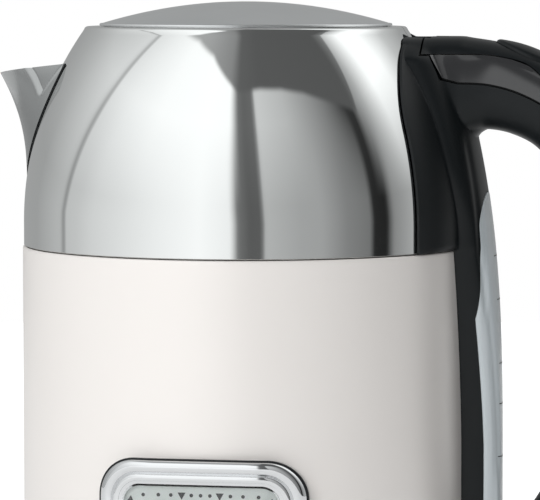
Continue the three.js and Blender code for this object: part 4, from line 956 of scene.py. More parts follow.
    def column_part(self) -> Skin:
        """The column from its foot into the saddle."""
        top = self.vessel.shoulder_z
        low = np.linspace(self.foot_z, top - GAP, 110)
        high = np.linspace(top + GAP, self.collar_top_z - 0.9, 76)
        z = np.concatenate([low, high])[:, None]
        y = np.sin(np.linspace(-0.5, 0.5, 73) * np.pi)[None, :] * self.flank_half(z)
        z = np.broadcast_to(z, y.shape)
        face = self.column_x(y, z)
        foot = np.sqrt(self.backing(z) ** 2 - y**2)
        near_top = np.maximum(0, z - self.collar_top_z + 7.5) / 6.6
        face = foot + 0.3 + (face - foot - 0.3) * superellipse(np.minimum(1, near_top), 2.4)
        outer = np.stack([face, y, z], -1)
        inner = np.stack([np.sqrt(self.backing(z) ** 2 - y**2), y, z], -1)
        return shell(outer, inner)

    def saddle_part(self) -> Skin:
        """The saddle that spreads over the dome and narrows into the collar."""
        top = self.vessel.shoulder_z

        def face(thickness: float) -> Callable:
            """The saddle's outer or inner face."""
            def place(u: np.ndarray, v: np.ndarray) -> tuple[np.ndarray, ...]:
                """A point of the face."""
                z = mix(top + GAP, top + self.saddle_rise, v)
                across = 2 * u - 1
                angle = across * self.saddle_half_angle(z)
                r = self.backing(z) + thickness * (1 + 0.9 * (1 - across**2))
                return r * np.cos(angle), r * np.sin(angle), z
            return place
        return shell(surface(face(1.0), 72, 64), surface(face(0.0), 72, 64))

    def loop_part(self) -> Skin:
        """The loop: a rounded section, |c|^p + |s|^p = 1, carried along the centreline.

        It starts inside the dome, where it is wider and its section squarer, as a collar.
        """
        t = np.linspace(0, 1, 221)
        centre, outward, depth, width = self.frame_at(t)
        lead = np.linspace(-26, -0.9, 22)
        before = np.column_stack([centre[0, 0] + lead, 0 * lead, np.full(len(lead), centre[0, 2])])
        centre = np.vstack([before, centre])
        outward = np.vstack([np.tile([0.0, 0.0, 1.0], (len(lead), 1)), outward])
        wide = self.collar_half + (width[0] - self.collar_half) * (lead + 26) / 26
        depth = np.concatenate([np.full(len(lead), depth[0]), depth])[:, None]
        width = np.concatenate([wide, width])[:, None]
        run = np.concatenate([lead, LOOP_LENGTH * t])[:, None]
        p = mix(4.2, self.section_power, smoothstep(run, -14, 22))
        angle = (np.arange(72) + 0.5)[None, :] * (2 * np.pi / 72)
        c, s = np.cos(angle), np.sin(angle)
        fit = (np.abs(c) ** p + np.abs(s) ** p) ** (-1 / p)
        points = centre[:, None, :] + outward[:, None, :] * (depth * c * fit)[..., None]
        points[..., 1] += width * s * fit
        return ringed(points)

    def web_part(self) -> Skin:
        """A rounded fill in the corner under the arm: a quarter ellipse that fades to each side."""
        reach, drop, half = 8.4, 4.4, 9.5

        def face(depth: float) -> np.ndarray:
            """The fill's concave face, moved into the solid by a depth."""
            def place(u: np.ndarray, v: np.ndarray) -> tuple[np.ndarray, ...]:
                """A point of the face."""
                y = (2 * u - 1) * half
                fade = np.sqrt(np.maximum(0, 1 - (2 * u - 1) ** 4)) * 0.9 + 0.1
                turn = v * np.pi / 2
                arm = self.vessel.shoulder_z + 41.3 - 15 * (superellipse(np.abs(y) / 14.4, 2.7) - 1)
                x = self.column_x(y, arm - drop) - 0.3 + reach * fade * (1 - np.sin(turn)) - depth
                return x, y, arm + 0.4 - drop * fade * (1 - np.cos(turn)) + depth
            return surface(place, 24, 20)
        return shell(face(0), face(4))

    def dome_blank(self) -> Skin:
        """The steel's outside grown by the handle's clearance, for cutting the handle to fit."""
        z = np.linspace(self.vessel.shoulder_z + 2, self.vessel.dome_top_z + 4, 60)
        return turned([(0, z[0]), *zip(self.backing(z), z), (0, z[-1])], 240)

    def whole(self) -> bpy.types.Mesh:
        """The handle before its seams: column, saddle, loop and web joined, cut and softened."""
        def free(points: np.ndarray) -> np.ndarray:
            """Points may move where they stand clear of the steel and of the foot."""
            clear = np.hypot(points[:, 0], points[:, 1]) - self.backing(points[:, 2])
            above = smoothstep(points[:, 2], self.foot_z + 1, self.foot_z + 5)
            return smoothstep(clear, 0.5, 2.6) * above
        joined = carve(mesh_from(self.column_part()), (Cut.TOGETHER, self.saddle_part()),
                       (Cut.TOGETHER, self.loop_part()), (Cut.TOGETHER, self.web_part()),
                       (Cut.AWAY, self.dome_blank()))
        return relaxed(joined, free, 24)

    def swept(self, first: np.ndarray, t: np.ndarray,
              corners: Sequence[tuple[np.ndarray | float, float]]) -> Skin:
        """A four-sided space along the loop, from a first section of four points.

        Args:
            first: The four corners of the section before the loop.
            t: Places along the loop.
            corners: Depth and side of each corner off the centreline.

        Returns:
            The closed skin.
        """
        rows = np.stack([self.beside(t, depth, side) for depth, side in corners], 1)
        return ringed(np.concatenate([first[None], rows]))

    def cover_edge(self, t: np.ndarray | float) -> np.ndarray:
        """Lower edge of the top cover off the centreline: high over the inlay, then to the middle."""
        return mix(10.7, 2.2, smoothstep(np.asarray(t, float), 0.13, 0.27))

    def cover_space(self, clearance: float) -> Skin:
        """The space that the top cover takes from the handle, grown by a clearance."""
        front = self.vessel.radius - 13 - clearance
        high, low = self.arm_z + FAR, self.arm_z + float(self.cover_edge(0)) - clearance
        first = np.array([[front, FAR, high], [front, -FAR, high], [front, -FAR, low],
                          [front, FAR, low]])
        t = np.linspace(0.02, self.cover_end + clearance / LOOP_LENGTH, 91)
        edge = self.cover_edge(t) - clearance
        return self.swept(first, t, ((30, FAR), (30, -FAR), (edge, -FAR), (edge, FAR)))

    def inlay_space(self, side: int, clearance: float) -> Skin:
        """The space of one side's gloss inlay: a long leaf under the cover's edge."""
        inner, outer = side * (11.6 - clearance), side * FAR
        t = np.linspace(0, self.inlay_end, 40)
        high = self.cover_edge(t) - GAP + clearance
        low = mix(1.2, 0.3, t / self.inlay_end) - clearance
        start = self.vessel.radius - 10.2 - clearance
        slant = start + 4.2
        top, foot = self.arm_z + high[0], self.arm_z + 2.6 - clearance
        first = np.array([[start, inner, top], [start, outer, top], [slant, outer, foot],
                          [slant, inner, foot]])
        return self.swept(first, t, ((high, inner), (high, outer), (low, outer), (low, inner)))

    def window_edge(self, z: np.ndarray) -> np.ndarray:
        """Half width of the water window below its arch."""
        return np.minimum(self.window_half, self.column_half(z) - WINDOW_MARGIN)

    def window_body(self, front: Callable, back: Callable, clearance: float) -> Skin:
        """A body with the water window's outline, arched at the top, between two depths."""
        top_z, foot_z = self.vessel.shoulder_z + self.window_rise, self.foot_z + self.window_drop

        def face(depth: Callable) -> Callable:
            """One face of the body."""
            def place(u: np.ndarray, v: np.ndarray) -> tuple[np.ndarray, ...]:
                """A point of the face."""
                ease = np.sin(v * np.pi / 2) ** 0.9
                level = mix(foot_z, top_z, ease)
                arch = np.clip((level - (top_z - self.window_half)) / (self.window_half + 0.02), 0, 1)
                half = self.window_edge(level) * np.sqrt(1 - arch**2)
                y = (2 * u - 1) * (half + clearance)
                z = mix(foot_z - clearance, top_z + clearance, ease)
                return depth(y, z), y, z
            return place
        return shell(surface(face(front), 36, 90), surface(face(back), 36, 90))

    def top_of_arm(self, x: np.ndarray, y: np.ndarray) -> np.ndarray:
        """Height of the arm's upper surface at x and y, found by stepping along the loop."""
        samples = np.linspace(0, 0.45, 300)
        centre, outward, depth, _ = self.frame_at(samples)
        ridge = centre[:, 0] + outward[:, 0] * depth
        t = np.interp(x, ridge, samples)
        slope = np.gradient(centre[:, 0], samples)
        for _ in range(6):
            centre_t, outward_t, depth_t, width_t = self.frame_at(t)
            high = depth_t * superellipse(y / width_t, self.section_power)
            here = centre_t[..., 0] + outward_t[..., 0] * high
            t = t + (x - here) / np.interp(t, samples, slope)
        return centre_t[..., 2] + outward_t[..., 2] * high

    @property
    def button_middle(self) -> float:
        """X of the button's middle."""
        return self.vessel.radius + self.button_front + self.button_length / 2

    def button(self) -> Skin:
        """The lid button: an oval that follows the arm's surface, 0.9 proud, with a rolled edge."""
        share = np.concatenate([np.linspace(0, 0.86, 24), np.linspace(0.88, 1, 9)])[:, None]
        angle = np.linspace(0, 2 * np.pi, 96, endpoint=False)[None, :]
        x = self.button_middle + share * self.button_length / 2 * np.cos(angle)
        y = share * self.button_half * np.sin(angle)
        high = self.top_of_arm(x, y)
        roll = np.maximum(0, (share - 0.86) / 0.14)
        rolled = 1.1 * (1 - np.sqrt(np.maximum(0, 1 - roll**2)))
        crown = high + self.button_proud + 0.5 * (1 - share**2) - rolled
        top = np.stack([x, y, crown], -1)
        skirt = top[-1:].copy()
        skirt[..., 2] -= self.button_skirt
        floor = skirt.mean(1, keepdims=True) + 0 * skirt
        return ringed(np.concatenate([top, skirt, 0.5 * (skirt + floor)]))

    def button_well(self) -> Skin:
        """The button's recess, deep enough for its travel."""
        angle = np.linspace(0, 2 * np.pi, 96, endpoint=False)
        x = self.button_middle + (self.button_length / 2 + BUTTON_CLEARANCE) * np.cos(angle)
        y = (self.button_half + BUTTON_CLEARANCE) * np.sin(angle)
        high = self.top_of_arm(x, y)
        low = np.stack([x, y, high - self.button_travel - 3.2], -1)
        return ringed(np.array([low, low + [0, 0, 30]]))

    def build(self, shop: Workshop) -> None:
        """Makes the body, the cover, the inlays, the button and the water window."""
        whole = self.whole()
        hinge_low, hinge_high = corners_mm("hinge_bracket")
        above = self.collar_top_z + 5
        hinge = block((hinge_low[0] - 9, hinge_low[1] - 2 * GAP, hinge_low[2] - 2.8),
                      (hinge_high[0] + 1.6, hinge_high[1] + 2 * GAP, above))
        bolt_low, bolt_high = corners_mm("latch_bolt")
        channel = block((bolt_low[0] - 2, bolt_low[1] - 0.4, bolt_low[2] - 0.4),
                        (bolt_high[0] + 4, bolt_high[1] + 0.4, bolt_low[2] + 3.6))
        well = self.button_well()
        sweep = self.vessel.tongue_half + 0.6
        room = block((hinge_low[0], -sweep, hinge_high[2] - 3), (hinge_high[0] + 7, sweep, above))
        inside = [(Cut.AWAY, solid) for solid in (hinge, room, channel, well)]
        window_hole = self.window_body(lambda y, z: self.column_x(y, z) + 4,
                                       lambda y, z: np.full_like(y, self.vessel.radius + 2), GAP)
        seams = (self.cover_space(0.6), self.inlay_space(1, 0.75), self.inlay_space(-1, 0.75))
        body = carve(whole, *((Cut.AWAY, seam) for seam in seams), *inside, (Cut.AWAY, window_hole))
        shop.piece("handle_frame", body, "kettle", Slot.BLACK, ["handle_body"])
        cover = carve(whole, (Cut.COMMON, self.cover_space(0)), *inside)
        shop.piece("handle_cover", cover, "kettle", Slot.BLACK, ["handle_top_cover"])
        for name, side in SIDES.items():
            leaf = carve(whole, (Cut.COMMON, self.inlay_space(side, 0)), (Cut.AWAY, hinge))
            shop.piece(f"gloss_leaf_{name}", leaf, "kettle", Slot.GLOSS, [f"handle_inlay_{name}"])
        shop.piece("release_button", self.button(), "lid_button", Slot.BLACK, ["lid_button"])
        self.build_window(shop)

    def build_window(self, shop: Workshop) -> None:
        """Makes the water window with a step along each edge, and its level marks."""
        def face(y: np.ndarray, z: np.ndarray) -> np.ndarray:
            """The window's outer face: flush, with a fine step near each edge."""
            edge = self.window_edge(z)
            return self.column_x(y, z) + 0.15 - 0.4 * smoothstep(np.abs(y), edge - 2.6, edge - 2.2)
        pane = self.window_body(face, lambda y, z: self.column_x(y, z) - 2.2, 0)
        shop.piece("level_window", pane, "kettle", Slot.WINDOW, ["water_window"])
        marks = None
        for rise in self.mark_rises:
            z0 = self.vessel.shoulder_z + rise
            half = min(3.6, float(self.column_half(z0)) - 4.5)
            def place(lift: float, z0: float = z0, half: float = half) -> Callable:
                """A face of one mark, at a lift off the pane."""
                def point(u: np.ndarray, v: np.ndarray) -> tuple[np.ndarray, ...]:
                    """A point of the face."""
                    y, z = (2 * u - 1) * half, z0 + 0.35 * v + 0 * u
                    return self.column_x(y, z) + 0.15 + lift, y, z
                return point
            mark = shell(surface(place(0.06), 16, 1), surface(place(-0.1), 16, 1))
            marks = mark if marks is None else marks.joined(mark)
        shop.piece("level_marks", marks, "kettle", Slot.RUBBER)


# ------------------------------------------------------------------ gauge


@dataclass
class Gauge:
    """The front gauge: a chrome bezel, a glass, a printed dial and a needle."""

    vessel: Vessel
    width: float = 70.0
    height: float = 48.0
    corner: float = 13.0
    front: float = corners_mm("gauge_bezel")[0][1]
    middle_z: float = 74.0
    roll: float = 4.6  # width of the outer rounded ring
    step: float = 2.3
    bevel: float = 1.8
    pivot_below: float = 8.0
    dot_rise: float = 20.2  # the dots' level line above the pivot
    dot_reach: float = 24.4  # half width of the dots' track
    dot_spacing: float = 8.8
    flat_half: float = 16.0  # half width of the level middle
    number_reach: float = 0.78  # the numbers' place between the pivot and the dots
    number_size: float = 3.4

    def bent(self, points: np.ndarray) -> np.ndarray:
        """Points moved back by 0.018 of the square of their distance past the level middle."""
        points = np.array(points, float)
        points[..., 1] += 0.018 * np.maximum(0, np.abs(points[..., 0]) - self.flat_half) ** 2
        return points

    def on_track(self, angle: float) -> np.ndarray:
        """A place on the scale's track, |x/a|^12 + |z/b|^12 = 1, at an angle about the pivot."""
        way = np.array([math.sin(angle), math.cos(angle)])
        reach = (np.abs(way / [self.dot_reach, self.dot_rise]) ** 12).sum() ** (-1 / 12)
        return reach * way

    def outline(self, inset: float, per_corner: int = 20, per_side: int = 26) -> np.ndarray:
        """The bezel's rounded rectangle as [x, z] points, pulled in by an inset."""
        w, h = self.width / 2 - inset, self.height / 2 - inset
        c = max(0.8, self.corner - 0.8 * inset)
        turn = np.linspace(0, np.pi / 2, per_corner)
        parts = []
        for k, (sx, sz) in enumerate(((1, 1), (-1, 1), (-1, -1), (1, -1))):
            angle = turn + k * np.pi / 2
            middle = np.array([sx * (w - c), sz * (h - c)])
            parts.append(middle + c * np.column_stack([np.cos(angle), np.sin(angle)]))
        ring = []
        for k, part in enumerate(parts):
            after = parts[(k + 1) % 4][0]
            share = np.linspace(0, 1, per_side + 2)[1:-1, None]
            ring.append(np.vstack([part, part[-1] + (after - part[-1]) * share]))
        points = np.vstack(ring)
        points[:, 1] += self.middle_z
        return points

    def profile(self) -> list[tuple[float, float]]:
        """Inset and depth behind the front, from the outer foot over the rolls to the dial."""
        r = self.roll / 2
        over = [(r - r * math.cos(a), r - r * math.sin(a) ** 0.9)
                for a in np.linspace(0, np.pi * 0.86, 22)]
        start = over[-1][0]
        ledge = [(start + 0.15, over[-1][1] + 0.25), (start + 0.4, over[-1][1] + 0.15)]
        lip = [(start + 0.4 + self.step * s, 1.25 - 0.45 * math.sin(math.pi * s) ** 0.7)
               for s in np.linspace(0.08, 0.95, 10)]
        inner = lip[-1][0]
        slope = [(inner + 0.1, 1.4), (inner + self.bevel, 2.1), (inner + self.bevel + 0.2, 3.3)]
        return [*over, *ledge, *lip, *slope]

    def loops(self, profile: Sequence[tuple[float, float]]) -> np.ndarray:
        """The outline at each inset and depth behind the front."""
        return np.array([np.insert(self.outline(inset), 1, self.front + depth, axis=1)
                         for inset, depth in profile])

    def bezel(self) -> Skin:
        """The bezel ring, its back lying on the vessel's wall."""
        wall = self.vessel.sleeve_radius - 0.4
        rows = self.loops(self.profile())
        inside, outside = rows[-1].copy(), rows[0].copy()
        for row in (inside, outside):
            row[:, 1] = -np.sqrt(wall**2 - row[:, 0] ** 2)
        inside[:, 1] = np.maximum(inside[:, 1], rows[-1][:, 1] + 0.2)
        return wrapped(np.array([*self.bent(rows), inside, outside]))

    def gasket(self) -> Skin:
        """A thin dark bead round the bezel, behind its rolled front: painted shadow for the dark line
        where the bezel meets the sleeve.
        """
        return wrapped(self.bent(self.loops(((-0.4, 2.5), (-0.4, 1.5), (0.3, 1.3), (0.3, 2.5)))))

    def sheet(self, inset: float, y0: float, y1: float) -> Skin:
        """A plate with the bezel's outline and bend, in rings about its middle."""
        loop = self.outline(inset)
        share = np.linspace(0.02, 1, 26)[:, None]
        x = share * loop[None, :, 0]
        z = self.middle_z + share * (loop[None, :, 1] - self.middle_z)
        front, back = (np.stack([x, np.full_like(x, y), z], -1) for y in (y0, y1))
        return ringed(self.bent(np.concatenate([front, back[::-1]])))

    def marks(self, face_y: float) -> Skin:
        """Dots round the scale and a triangle at every fourth, just proud of the dial."""
        pivot = self.middle_z - self.pivot_below
        made = None
        for k in range(-10, 11):
            angle = math.radians(k * self.dot_spacing)
            major = (k - 2) % 4 == 0
            lean = 0 if abs(angle) < 0.6 else angle
            radial = np.array([math.sin(lean), math.cos(lean)])
            aside = np.array([radial[1], -radial[0]])
            spot = self.on_track(angle) + [0, pivot]
            if major:
                flat = np.array([spot + 0.9 * radial + 1.35 * aside, spot + 0.9 * radial - 1.35 * aside,
                                 spot - 1.5 * radial])
            else:
                turn = np.linspace(0, 2 * np.pi, 14, endpoint=False)
                flat = spot + 0.62 * np.column_stack([np.cos(turn), np.sin(turn)])
            mark = raised(flat, face_y - 0.05, face_y + 0.05)
            mark = Skin(self.bent(mark.points), mark.faces)
            made = mark if made is None else made.joined(mark)
        return made

    def numbers(self, face_y: float) -> bpy.types.Mesh:
        """The scale's numbers, 0 to 100, inside the dots."""
        pivot = self.middle_z - self.pivot_below
        work = bmesh.new()
        for k, value in enumerate(range(0, 101, 20)):
            curve = bpy.data.curves.new("number", "FONT")
            curve.body = str(value)
            curve.size = self.number_size * MM
            curve.align_x, curve.align_y = "CENTER", "CENTER"
            curve.extrude = 0.05 * MM
            item = linked("number", curve)
            bpy.context.view_layer.update()
            graph = bpy.context.evaluated_depsgraph_get()
            flat = bpy.data.meshes.new_from_object(item.evaluated_get(graph))
            count = len(flat.vertices)
            co = np.empty(count * 3)
            flat.vertices.foreach_get("co", co)
            co = co.reshape(-1, 3)
            angle = math.radians((k * 4 - 10) * self.dot_spacing)
            x, z = (self.on_track(angle) * self.number_reach + [0, pivot]) * MM
            flat_text = np.column_stack([co[:, 0] + x, -co[:, 2] + face_y * MM, co[:, 1] + z])
            placed = self.bent(flat_text / MM) * MM
            flat.vertices.foreach_set("co", placed.ravel())
            work.from_mesh(flat)
            bpy.data.objects.remove(item)
            bpy.data.curves.remove(curve)
        mesh = bpy.data.meshes.new("numbers")
        work.to_mesh(mesh)
        work.free()
        return mesh

    def build(self, shop: Workshop) -> None:
        """Makes the bezel, the bead of painted shadow round it, the glass, and the dial with its print.
        """
        shop.piece("gauge_frame", self.bezel(), "kettle", Slot.CHROME, ["gauge_bezel"])
        # a dark bead painted as the shadow line round the bezel
        shop.piece("gauge_shadow_bead", self.gasket(), "kettle", Slot.BLACK)
        face_y = corners_mm("gauge_dial")[0][1]
        edge = self.roll + self.step + self.bevel - 0.5
        glass = self.sheet(edge, self.front + 1.75, self.front + 2.25)
        shop.piece("gauge_glass", glass, "kettle", Slot.GLASS, ["gauge_lens"])
        shop.piece("dial_plate", self.sheet(edge - 0.6, face_y, face_y + 0.5), "kettle", Slot.DIAL,
                   ["gauge_dial"])
        shop.piece("dial_marks", self.marks(face_y), "kettle", Slot.RUBBER)
        shop.piece("dial_numbers", self.numbers(face_y), "kettle", Slot.RUBBER)


# ------------------------------------------------------------------ power base and other turned parts


@dataclass
class PowerBase:
    """The base that the kettle stands on, with its socket, trim and feet."""

    vessel: Vessel
    radius: float = corners_mm("base_cover")[1][0]
    height: float = corners_mm("base_cover")[1][2]
    foot: float = corners_mm("base_cover")[0][2]
    wall: float = 2.0
    socket_radius: float = corners_mm("base_socket")[1][0]
    socket_top: float = corners_mm("base_socket")[1][2]

    def build(self, shop: Workshop) -> None:
        """Makes the cover, the trim ring, the socket and the loose ring about it."""
        r, top, low, hub = self.radius, self.height, self.foot, self.socket_radius
        brow = [(r - 5.2 + 5.2 * math.cos(a) ** 0.8, top - 6.2 + 6.2 * math.sin(a))
                for a in np.linspace(0, np.pi / 2, 18)]
        cover = [(r - 0.8, low), (r - 0.3, low + 1), (r, low + 3.6), (r, top - 7), *brow,
                 (hub + 3.2, top), (hub + 2.6, top - 0.5), (hub + 2.6, top - self.wall),
                 (r - 6, top - self.wall), (r - self.wall - 1.4, top - 4.5), (r - self.wall, 13),
                 (r - self.wall, low)]
        gland_low, gland_high = corners_mm("cord_gland")
        gland_z = (gland_low[2] + gland_high[2]) / 2
        hole = rod((gland_high[2] - gland_low[2]) / 2 - 1.3, (0, r - 8, gland_z), (0, r + 6, gland_z))
        shop.piece("base_top", carve(mesh_from(turned(cover, 216)), (Cut.AWAY, hole)), "power_base",
                   Slot.BLACK, ["base_cover"])
        trim_low, trim_high = corners_mm("base_trim_ring")
        outer, inner = trim_high[0], r + GAP
        bead = [(inner, trim_low[2]), (outer - 0.3, trim_low[2]), (outer, trim_low[2] + 0.4),
                (outer, trim_high[2] - 0.4), (outer - 0.3, trim_high[2]), (inner, trim_high[2])]
        gap = block((-gland_high[2] / 2 - 0.5, 0, 0), (gland_high[2] / 2 + 0.5, 2 * r, top))
        shop.piece("trim_band", carve(mesh_from(turned(bead, 216)), (Cut.AWAY, gap)), "power_base",
                   Slot.CHROME, ["base_trim_ring"])
        s, st = hub, self.socket_top
        post = [(0, low + 2.7), (s, low + 2.7), (s, st - 1.5), (s - 0.45, st - 0.45), (s - 1.5, st),
                (12.5, st), (12.5, st - 13), (8.5, st - 13), (8.5, st), (3, st), (3, st - 13),
                (0, st - 13)]
        shop.piece("socket_post", turned(post, 96), "power_base", Slot.BLACK, ["base_socket"],
                   bevel=0.25)
        ring_low, ring_high = corners_mm("centring_ring")
        a, b, z0, z1 = s + 0.5, ring_high[0], ring_low[2], ring_high[2]
        ring = [(a, z0), (b, z0), (b, z0 + 1.4), (b - 0.4, z0 + 2.2), (b - 1.2, z1), (a, z1)]
        notch = block((b - 1.5, -2, z0 - 1), (b + 1, 2, z1 + 2))
        shop.piece("loose_ring", carve(mesh_from(turned(ring, 96)), (Cut.AWAY, notch)), "swivel",
                   Slot.BLACK, ["centring_ring"], bevel=0.2)


NODE_SLOTS = {
    Slot.SATIN: ("heater_plate", "filter_mesh", "gauge_cup"),
    Slot.BLACK: ("base_plate", "kettle_bottom", "kettle_connector", "control_unit", "filter_frame",
                 "hinge_bracket", "lid_arm", "latch_bolt", "switch_lever"),
    Slot.RUBBER: ("base_foot_1", "base_foot_2", "base_foot_3", "cord_gland", "window_seal"),
    Slot.BRASS: ("socket_contact_outer", "socket_contact_inner", "connector_pin", "connector_sleeve",
                 "bimetal_disc", "gauge_coil"),
    Slot.DIFFUSER: ("heat_diffuser", "heating_element"),
    Slot.FASTENER: ("base_screw_1", "base_screw_2", "base_screw_3", "bottom_screw_1", "bottom_screw_2",
                    "bottom_screw_3", "handle_screw", "hinge_pin", "lid_spring"),
    Slot.SILICONE: ("steam_tube",),
    Slot.GLASS: ("lamp_lens",),
    Slot.NEEDLE: ("gauge_needle",),
}


# ------------------------------------------------------------------ studio


@dataclass
class Studio:
    """The camera, the sky that the metal reflects, soft lights and a pale floor."""

    distance: float = 1.313
    height: float = 0.2567
    azimuth: float = 11.0
    swing: float = 0.364
    tilt: float = 4.134
    lens: float = 251.8
    floor_radius: float = 1.5
    light_turn: float = -27.0
    light_rise: float = 24.0
    light_distance: float = 1.5
    light_power: float = 9.0

    def camera(self) -> None:
        """A long lens, looking slightly down and a little round towards the handle."""
        data = bpy.data.cameras.new("camera")
        data.lens = self.lens
        item = linked("camera", data)
        a = math.radians(self.azimuth)
        item.location = (self.distance * math.sin(a), -self.distance * math.cos(a), self.height)
        item.rotation_euler = (math.radians(90 - self.tilt), 0, math.radians(self.azimuth - self.swing))
        bpy.context.scene.camera = item

    def sky(self) -> None:
        """A ring of softboxes and dark gaps, by angle round the kettle and angle up.

        Angle 0 faces the viewer and grows towards the handle's side. Below the upper edge of the
        boxes the belt's brightness follows one ramp, above it the cap's follows another.
        """
        world = bpy.data.worlds.new("studio_sky")
        bpy.context.scene.world = world
        world.use_nodes = True
        world.node_tree.nodes.clear()
        graph = Graph(world.node_tree)
        way = graph.add("ShaderNodeTexCoord").outputs["Generated"]
        a = math.radians(self.azimuth)

        def towards(vector: tuple[float, float, float]) -> bpy.types.NodeSocket:
            """How far the direction points along a vector."""
            node = graph.add("ShaderNodeVectorMath", {"operation": "DOT_PRODUCT"}, {0: way, 1: vector})
            return node.outputs["Value"]
        toward_viewer = towards((math.sin(a), -math.cos(a), 0))
        toward_handle = towards((math.cos(a), math.sin(a), 0))
        turn = graph.math("DEGREES", graph.math("ARCTAN2", toward_handle, toward_viewer))
        rise = graph.math("DEGREES", graph.math("ARCSINE", towards((0, 0, 1))))
        lean = graph.add("ShaderNodeMapRange", None,
                         {"Value": turn, 1: -96.0, 2: -10.0, 3: 0.4255, 4: -0.0926}).outputs[0]
        up = graph.math("MAXIMUM", rise, 0.0)
        moved = graph.math("SUBTRACT", turn, graph.math("MULTIPLY", up, lean))
        low = self.ramp(graph, moved, (
            (-180, 0.36), (-150, 0.4), (-137, 0.41), (-114, 0.56), (-110.5, 0.56), (-108.4, 0.34),
            (-107.2, 0.36), (-105.5, 0.64), (-97, 0.68), (-86, 0.79), (-69, 0.9), (-46, 1.07),
            (-24, 1.2), (-8, 1.08), (-4, 0.2), (2, 0.125), (8, 0.13), (10, 0.56), (28, 0.45),
            (39, 0.43), (53, 0.27), (66, 0.21), (69, 0.025), (77, 0.02), (82, 0.3), (96, 0.47),
            (125, 0.5), (150, 0.36), (180, 0.36)))
        high = self.ramp(graph, moved, (
            (-180, 0.4), (-150, 0.55), (-130, 0.72), (-114, 0.85), (-110.5, 0.8), (-108.4, 0.5),
            (-107.2, 0.52), (-105.5, 0.95), (-86, 1.1), (-60, 1.25), (-24, 1.3), (-6.5, 1.28),
            (-2, 0.2), (2, 0.15), (8, 0.17), (10, 0.74), (28, 0.59), (39, 0.44), (53, 0.26),
            (65, 0.08), (68, 0.04), (72, 0.04), (76, 0.32), (82, 0.52), (89, 0.9), (96, 1.3),
            (112, 1.3), (130, 0.7), (150, 0.45), (180, 0.4)))
        climb = graph.add("ShaderNodeMapRange", None, {"Value": rise, 1: 6.0, 2: 34.0, 3: 0.0, 4: 1.0})
        belt = graph.add("ShaderNodeMix", {"data_type": "FLOAT"},
                         {"Factor": climb.outputs[0], 2: low, 3: high}).outputs[0]
        cap = self.ramp(graph, turn, (
            (-180, 0.36), (-120, 0.5), (-80, 0.52), (-40, 0.45), (-12, 0.3), (-5, 0.14), (10, 0.12),
            (70, 0.11), (76, 0.2), (95, 0.9), (120, 0.6), (150, 0.4), (180, 0.36)))
        edge = self.ramp(graph, turn, (
            (-180, 0.7), (-130, 0.72), (-108, 0.7), (-96, 0.55), (-75, 0.6), (-50, 0.61), (-30, 0.58),
            (-14, 0.5), (-6, 0.46), (10, 0.47), (25, 0.46), (40, 0.43), (60, 0.36), (72, 0.31),
            (80, 0.6), (95, 0.7), (180, 0.7)))
        border = graph.math("MULTIPLY", edge, 100.0)
        above = graph.math("SUBTRACT", rise, border)
        share = graph.add("ShaderNodeMapRange", {"interpolation_type": "SMOOTHSTEP"},
                          {"Value": above, 1: -1.5, 2: 1.5, 3: 0.0, 4: 1.0}).outputs[0]
        light = graph.add("ShaderNodeMix", {"data_type": "FLOAT"},
                          {"Factor": share, 2: belt, 3: cap}).outputs[0]
        red = graph.math("MULTIPLY", light, 0.985)
        colour = graph.add("ShaderNodeCombineColor", None,
                           {"Red": red, "Green": light, "Blue": light}).outputs[0]
        seen = graph.add("ShaderNodeBackground", None, {"Color": colour, "Strength": 1.0})
        plain = graph.add("ShaderNodeBackground", None, {"Color": (1, 1, 1, 1), "Strength": 1.0})
        straight = graph.add("ShaderNodeLightPath").outputs["Is Camera Ray"]
        both = graph.add("ShaderNodeMixShader", None,
                         {0: straight, 1: seen.outputs[0], 2: plain.outputs[0]})
        graph.add("ShaderNodeOutputWorld", None, {"Surface": both.outputs[0]})

    @staticmethod
    def ramp(graph: Graph, turn: bpy.types.NodeSocket,
             stops: Sequence[tuple[float, float]]) -> bpy.types.NodeSocket:
        """A grey value for each angle in degrees, straight between the stops."""
        place = graph.math("MULTIPLY_ADD", turn, 1 / 360, 0.5)
        node = graph.add("ShaderNodeValToRGB", None, {"Fac": place})
        elements = node.color_ramp.elements
        while len(elements) > 1:
            elements.remove(elements[-1])
        for k, (angle, value) in enumerate(stops):
            spot = angle / 360 + 0.5
            element = elements[0] if k == 0 else elements.new(spot)
            element.position = spot
            element.color = (value, value, value, 1)
        return node.outputs["Color"]

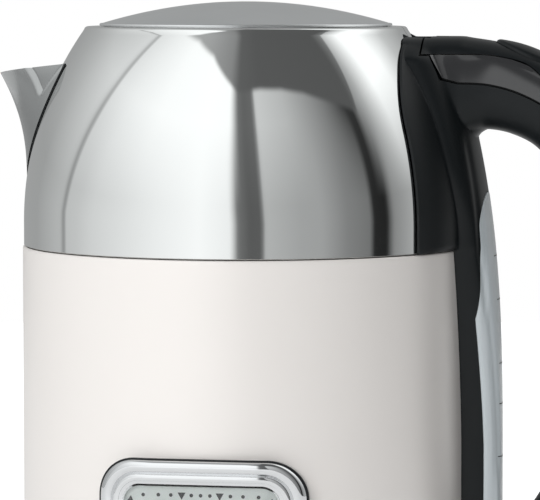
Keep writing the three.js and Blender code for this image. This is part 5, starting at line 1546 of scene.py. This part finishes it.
    def light(self) -> None:
        """One square soft light aimed at the kettle, not seen in reflections."""
        data = bpy.data.lights.new("key_light", "AREA")
        data.size = 0.8
        data.energy = self.light_power
        item = linked("key_light", data)
        a, e = math.radians(self.light_turn + self.azimuth), math.radians(self.light_rise)
        way = np.array([math.sin(a) * math.cos(e), -math.cos(a) * math.cos(e), math.sin(e)])
        item.location = way * self.light_distance + [0, 0, 0.13]
        item.rotation_euler = (math.pi / 2 - e, 0, a)
        item.visible_glossy = False

    def floor(self) -> None:
        """A wide white disc under the kettle."""
        angle = np.linspace(0, 2 * np.pi, 128, endpoint=False)
        ring = np.column_stack([np.cos(angle), np.sin(angle), np.zeros(128)])
        mesh = bpy.data.meshes.new("floor")
        mesh.from_pydata((ring * self.floor_radius).tolist(), [], [tuple(range(128))])
        item = linked("floor", mesh)
        material = bpy.data.materials.new("floor_white")
        material.use_nodes = True
        shader = material.node_tree.nodes["Principled BSDF"]
        graph = Graph(material.node_tree)
        place = graph.add("ShaderNodeTexCoord").outputs["Object"]
        noise = graph.add("ShaderNodeTexNoise", None, {"Vector": place, "Scale": 6.0, "Detail": 3.0})
        tone = graph.math("MULTIPLY_ADD", noise.outputs["Fac"], 0.01, 0.84)
        colour = graph.add("ShaderNodeCombineColor", None, {0: tone, 1: tone, 2: tone}).outputs[0]
        graph.tree.links.new(colour, shader.inputs["Base Color"])
        shader.inputs["Roughness"].default_value = 0.8
        shader.inputs["Specular IOR Level"].default_value = 0.1
        shader.inputs["Emission Color"].default_value = (1, 1, 1, 1)
        seen = graph.add("ShaderNodeLightPath").outputs["Is Camera Ray"]
        glow = graph.math("MULTIPLY_ADD", seen, 0.5, 0.22)
        graph.tree.links.new(glow, shader.inputs["Emission Strength"])
        mesh.materials.append(material)

    def build(self) -> None:
        """Sets everything up."""
        scene = bpy.context.scene
        scene.view_settings.view_transform = "Standard"
        self.camera()
        self.sky()
        self.light()
        self.floor()


def main() -> None:
    """Builds the kettle piece by piece and the studio round it."""
    logging.basicConfig(level=logging.INFO, format="%(name)s: %(message)s")
    shop = Workshop()
    vessel = Vessel()
    handle = Handle(vessel)
    spout = Spout(vessel)
    Studio().build()
    vessel.build(shop, spout, handle)
    Lid(vessel).build(shop)
    spout.build(shop)
    handle.build(shop)
    Gauge(vessel).build(shop)
    PowerBase(vessel).build(shop)
    for slot, names in NODE_SLOTS.items():
        for name in names:
            shop.dress(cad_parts[name], slot.value)


if __name__ == "__main__":
    main()
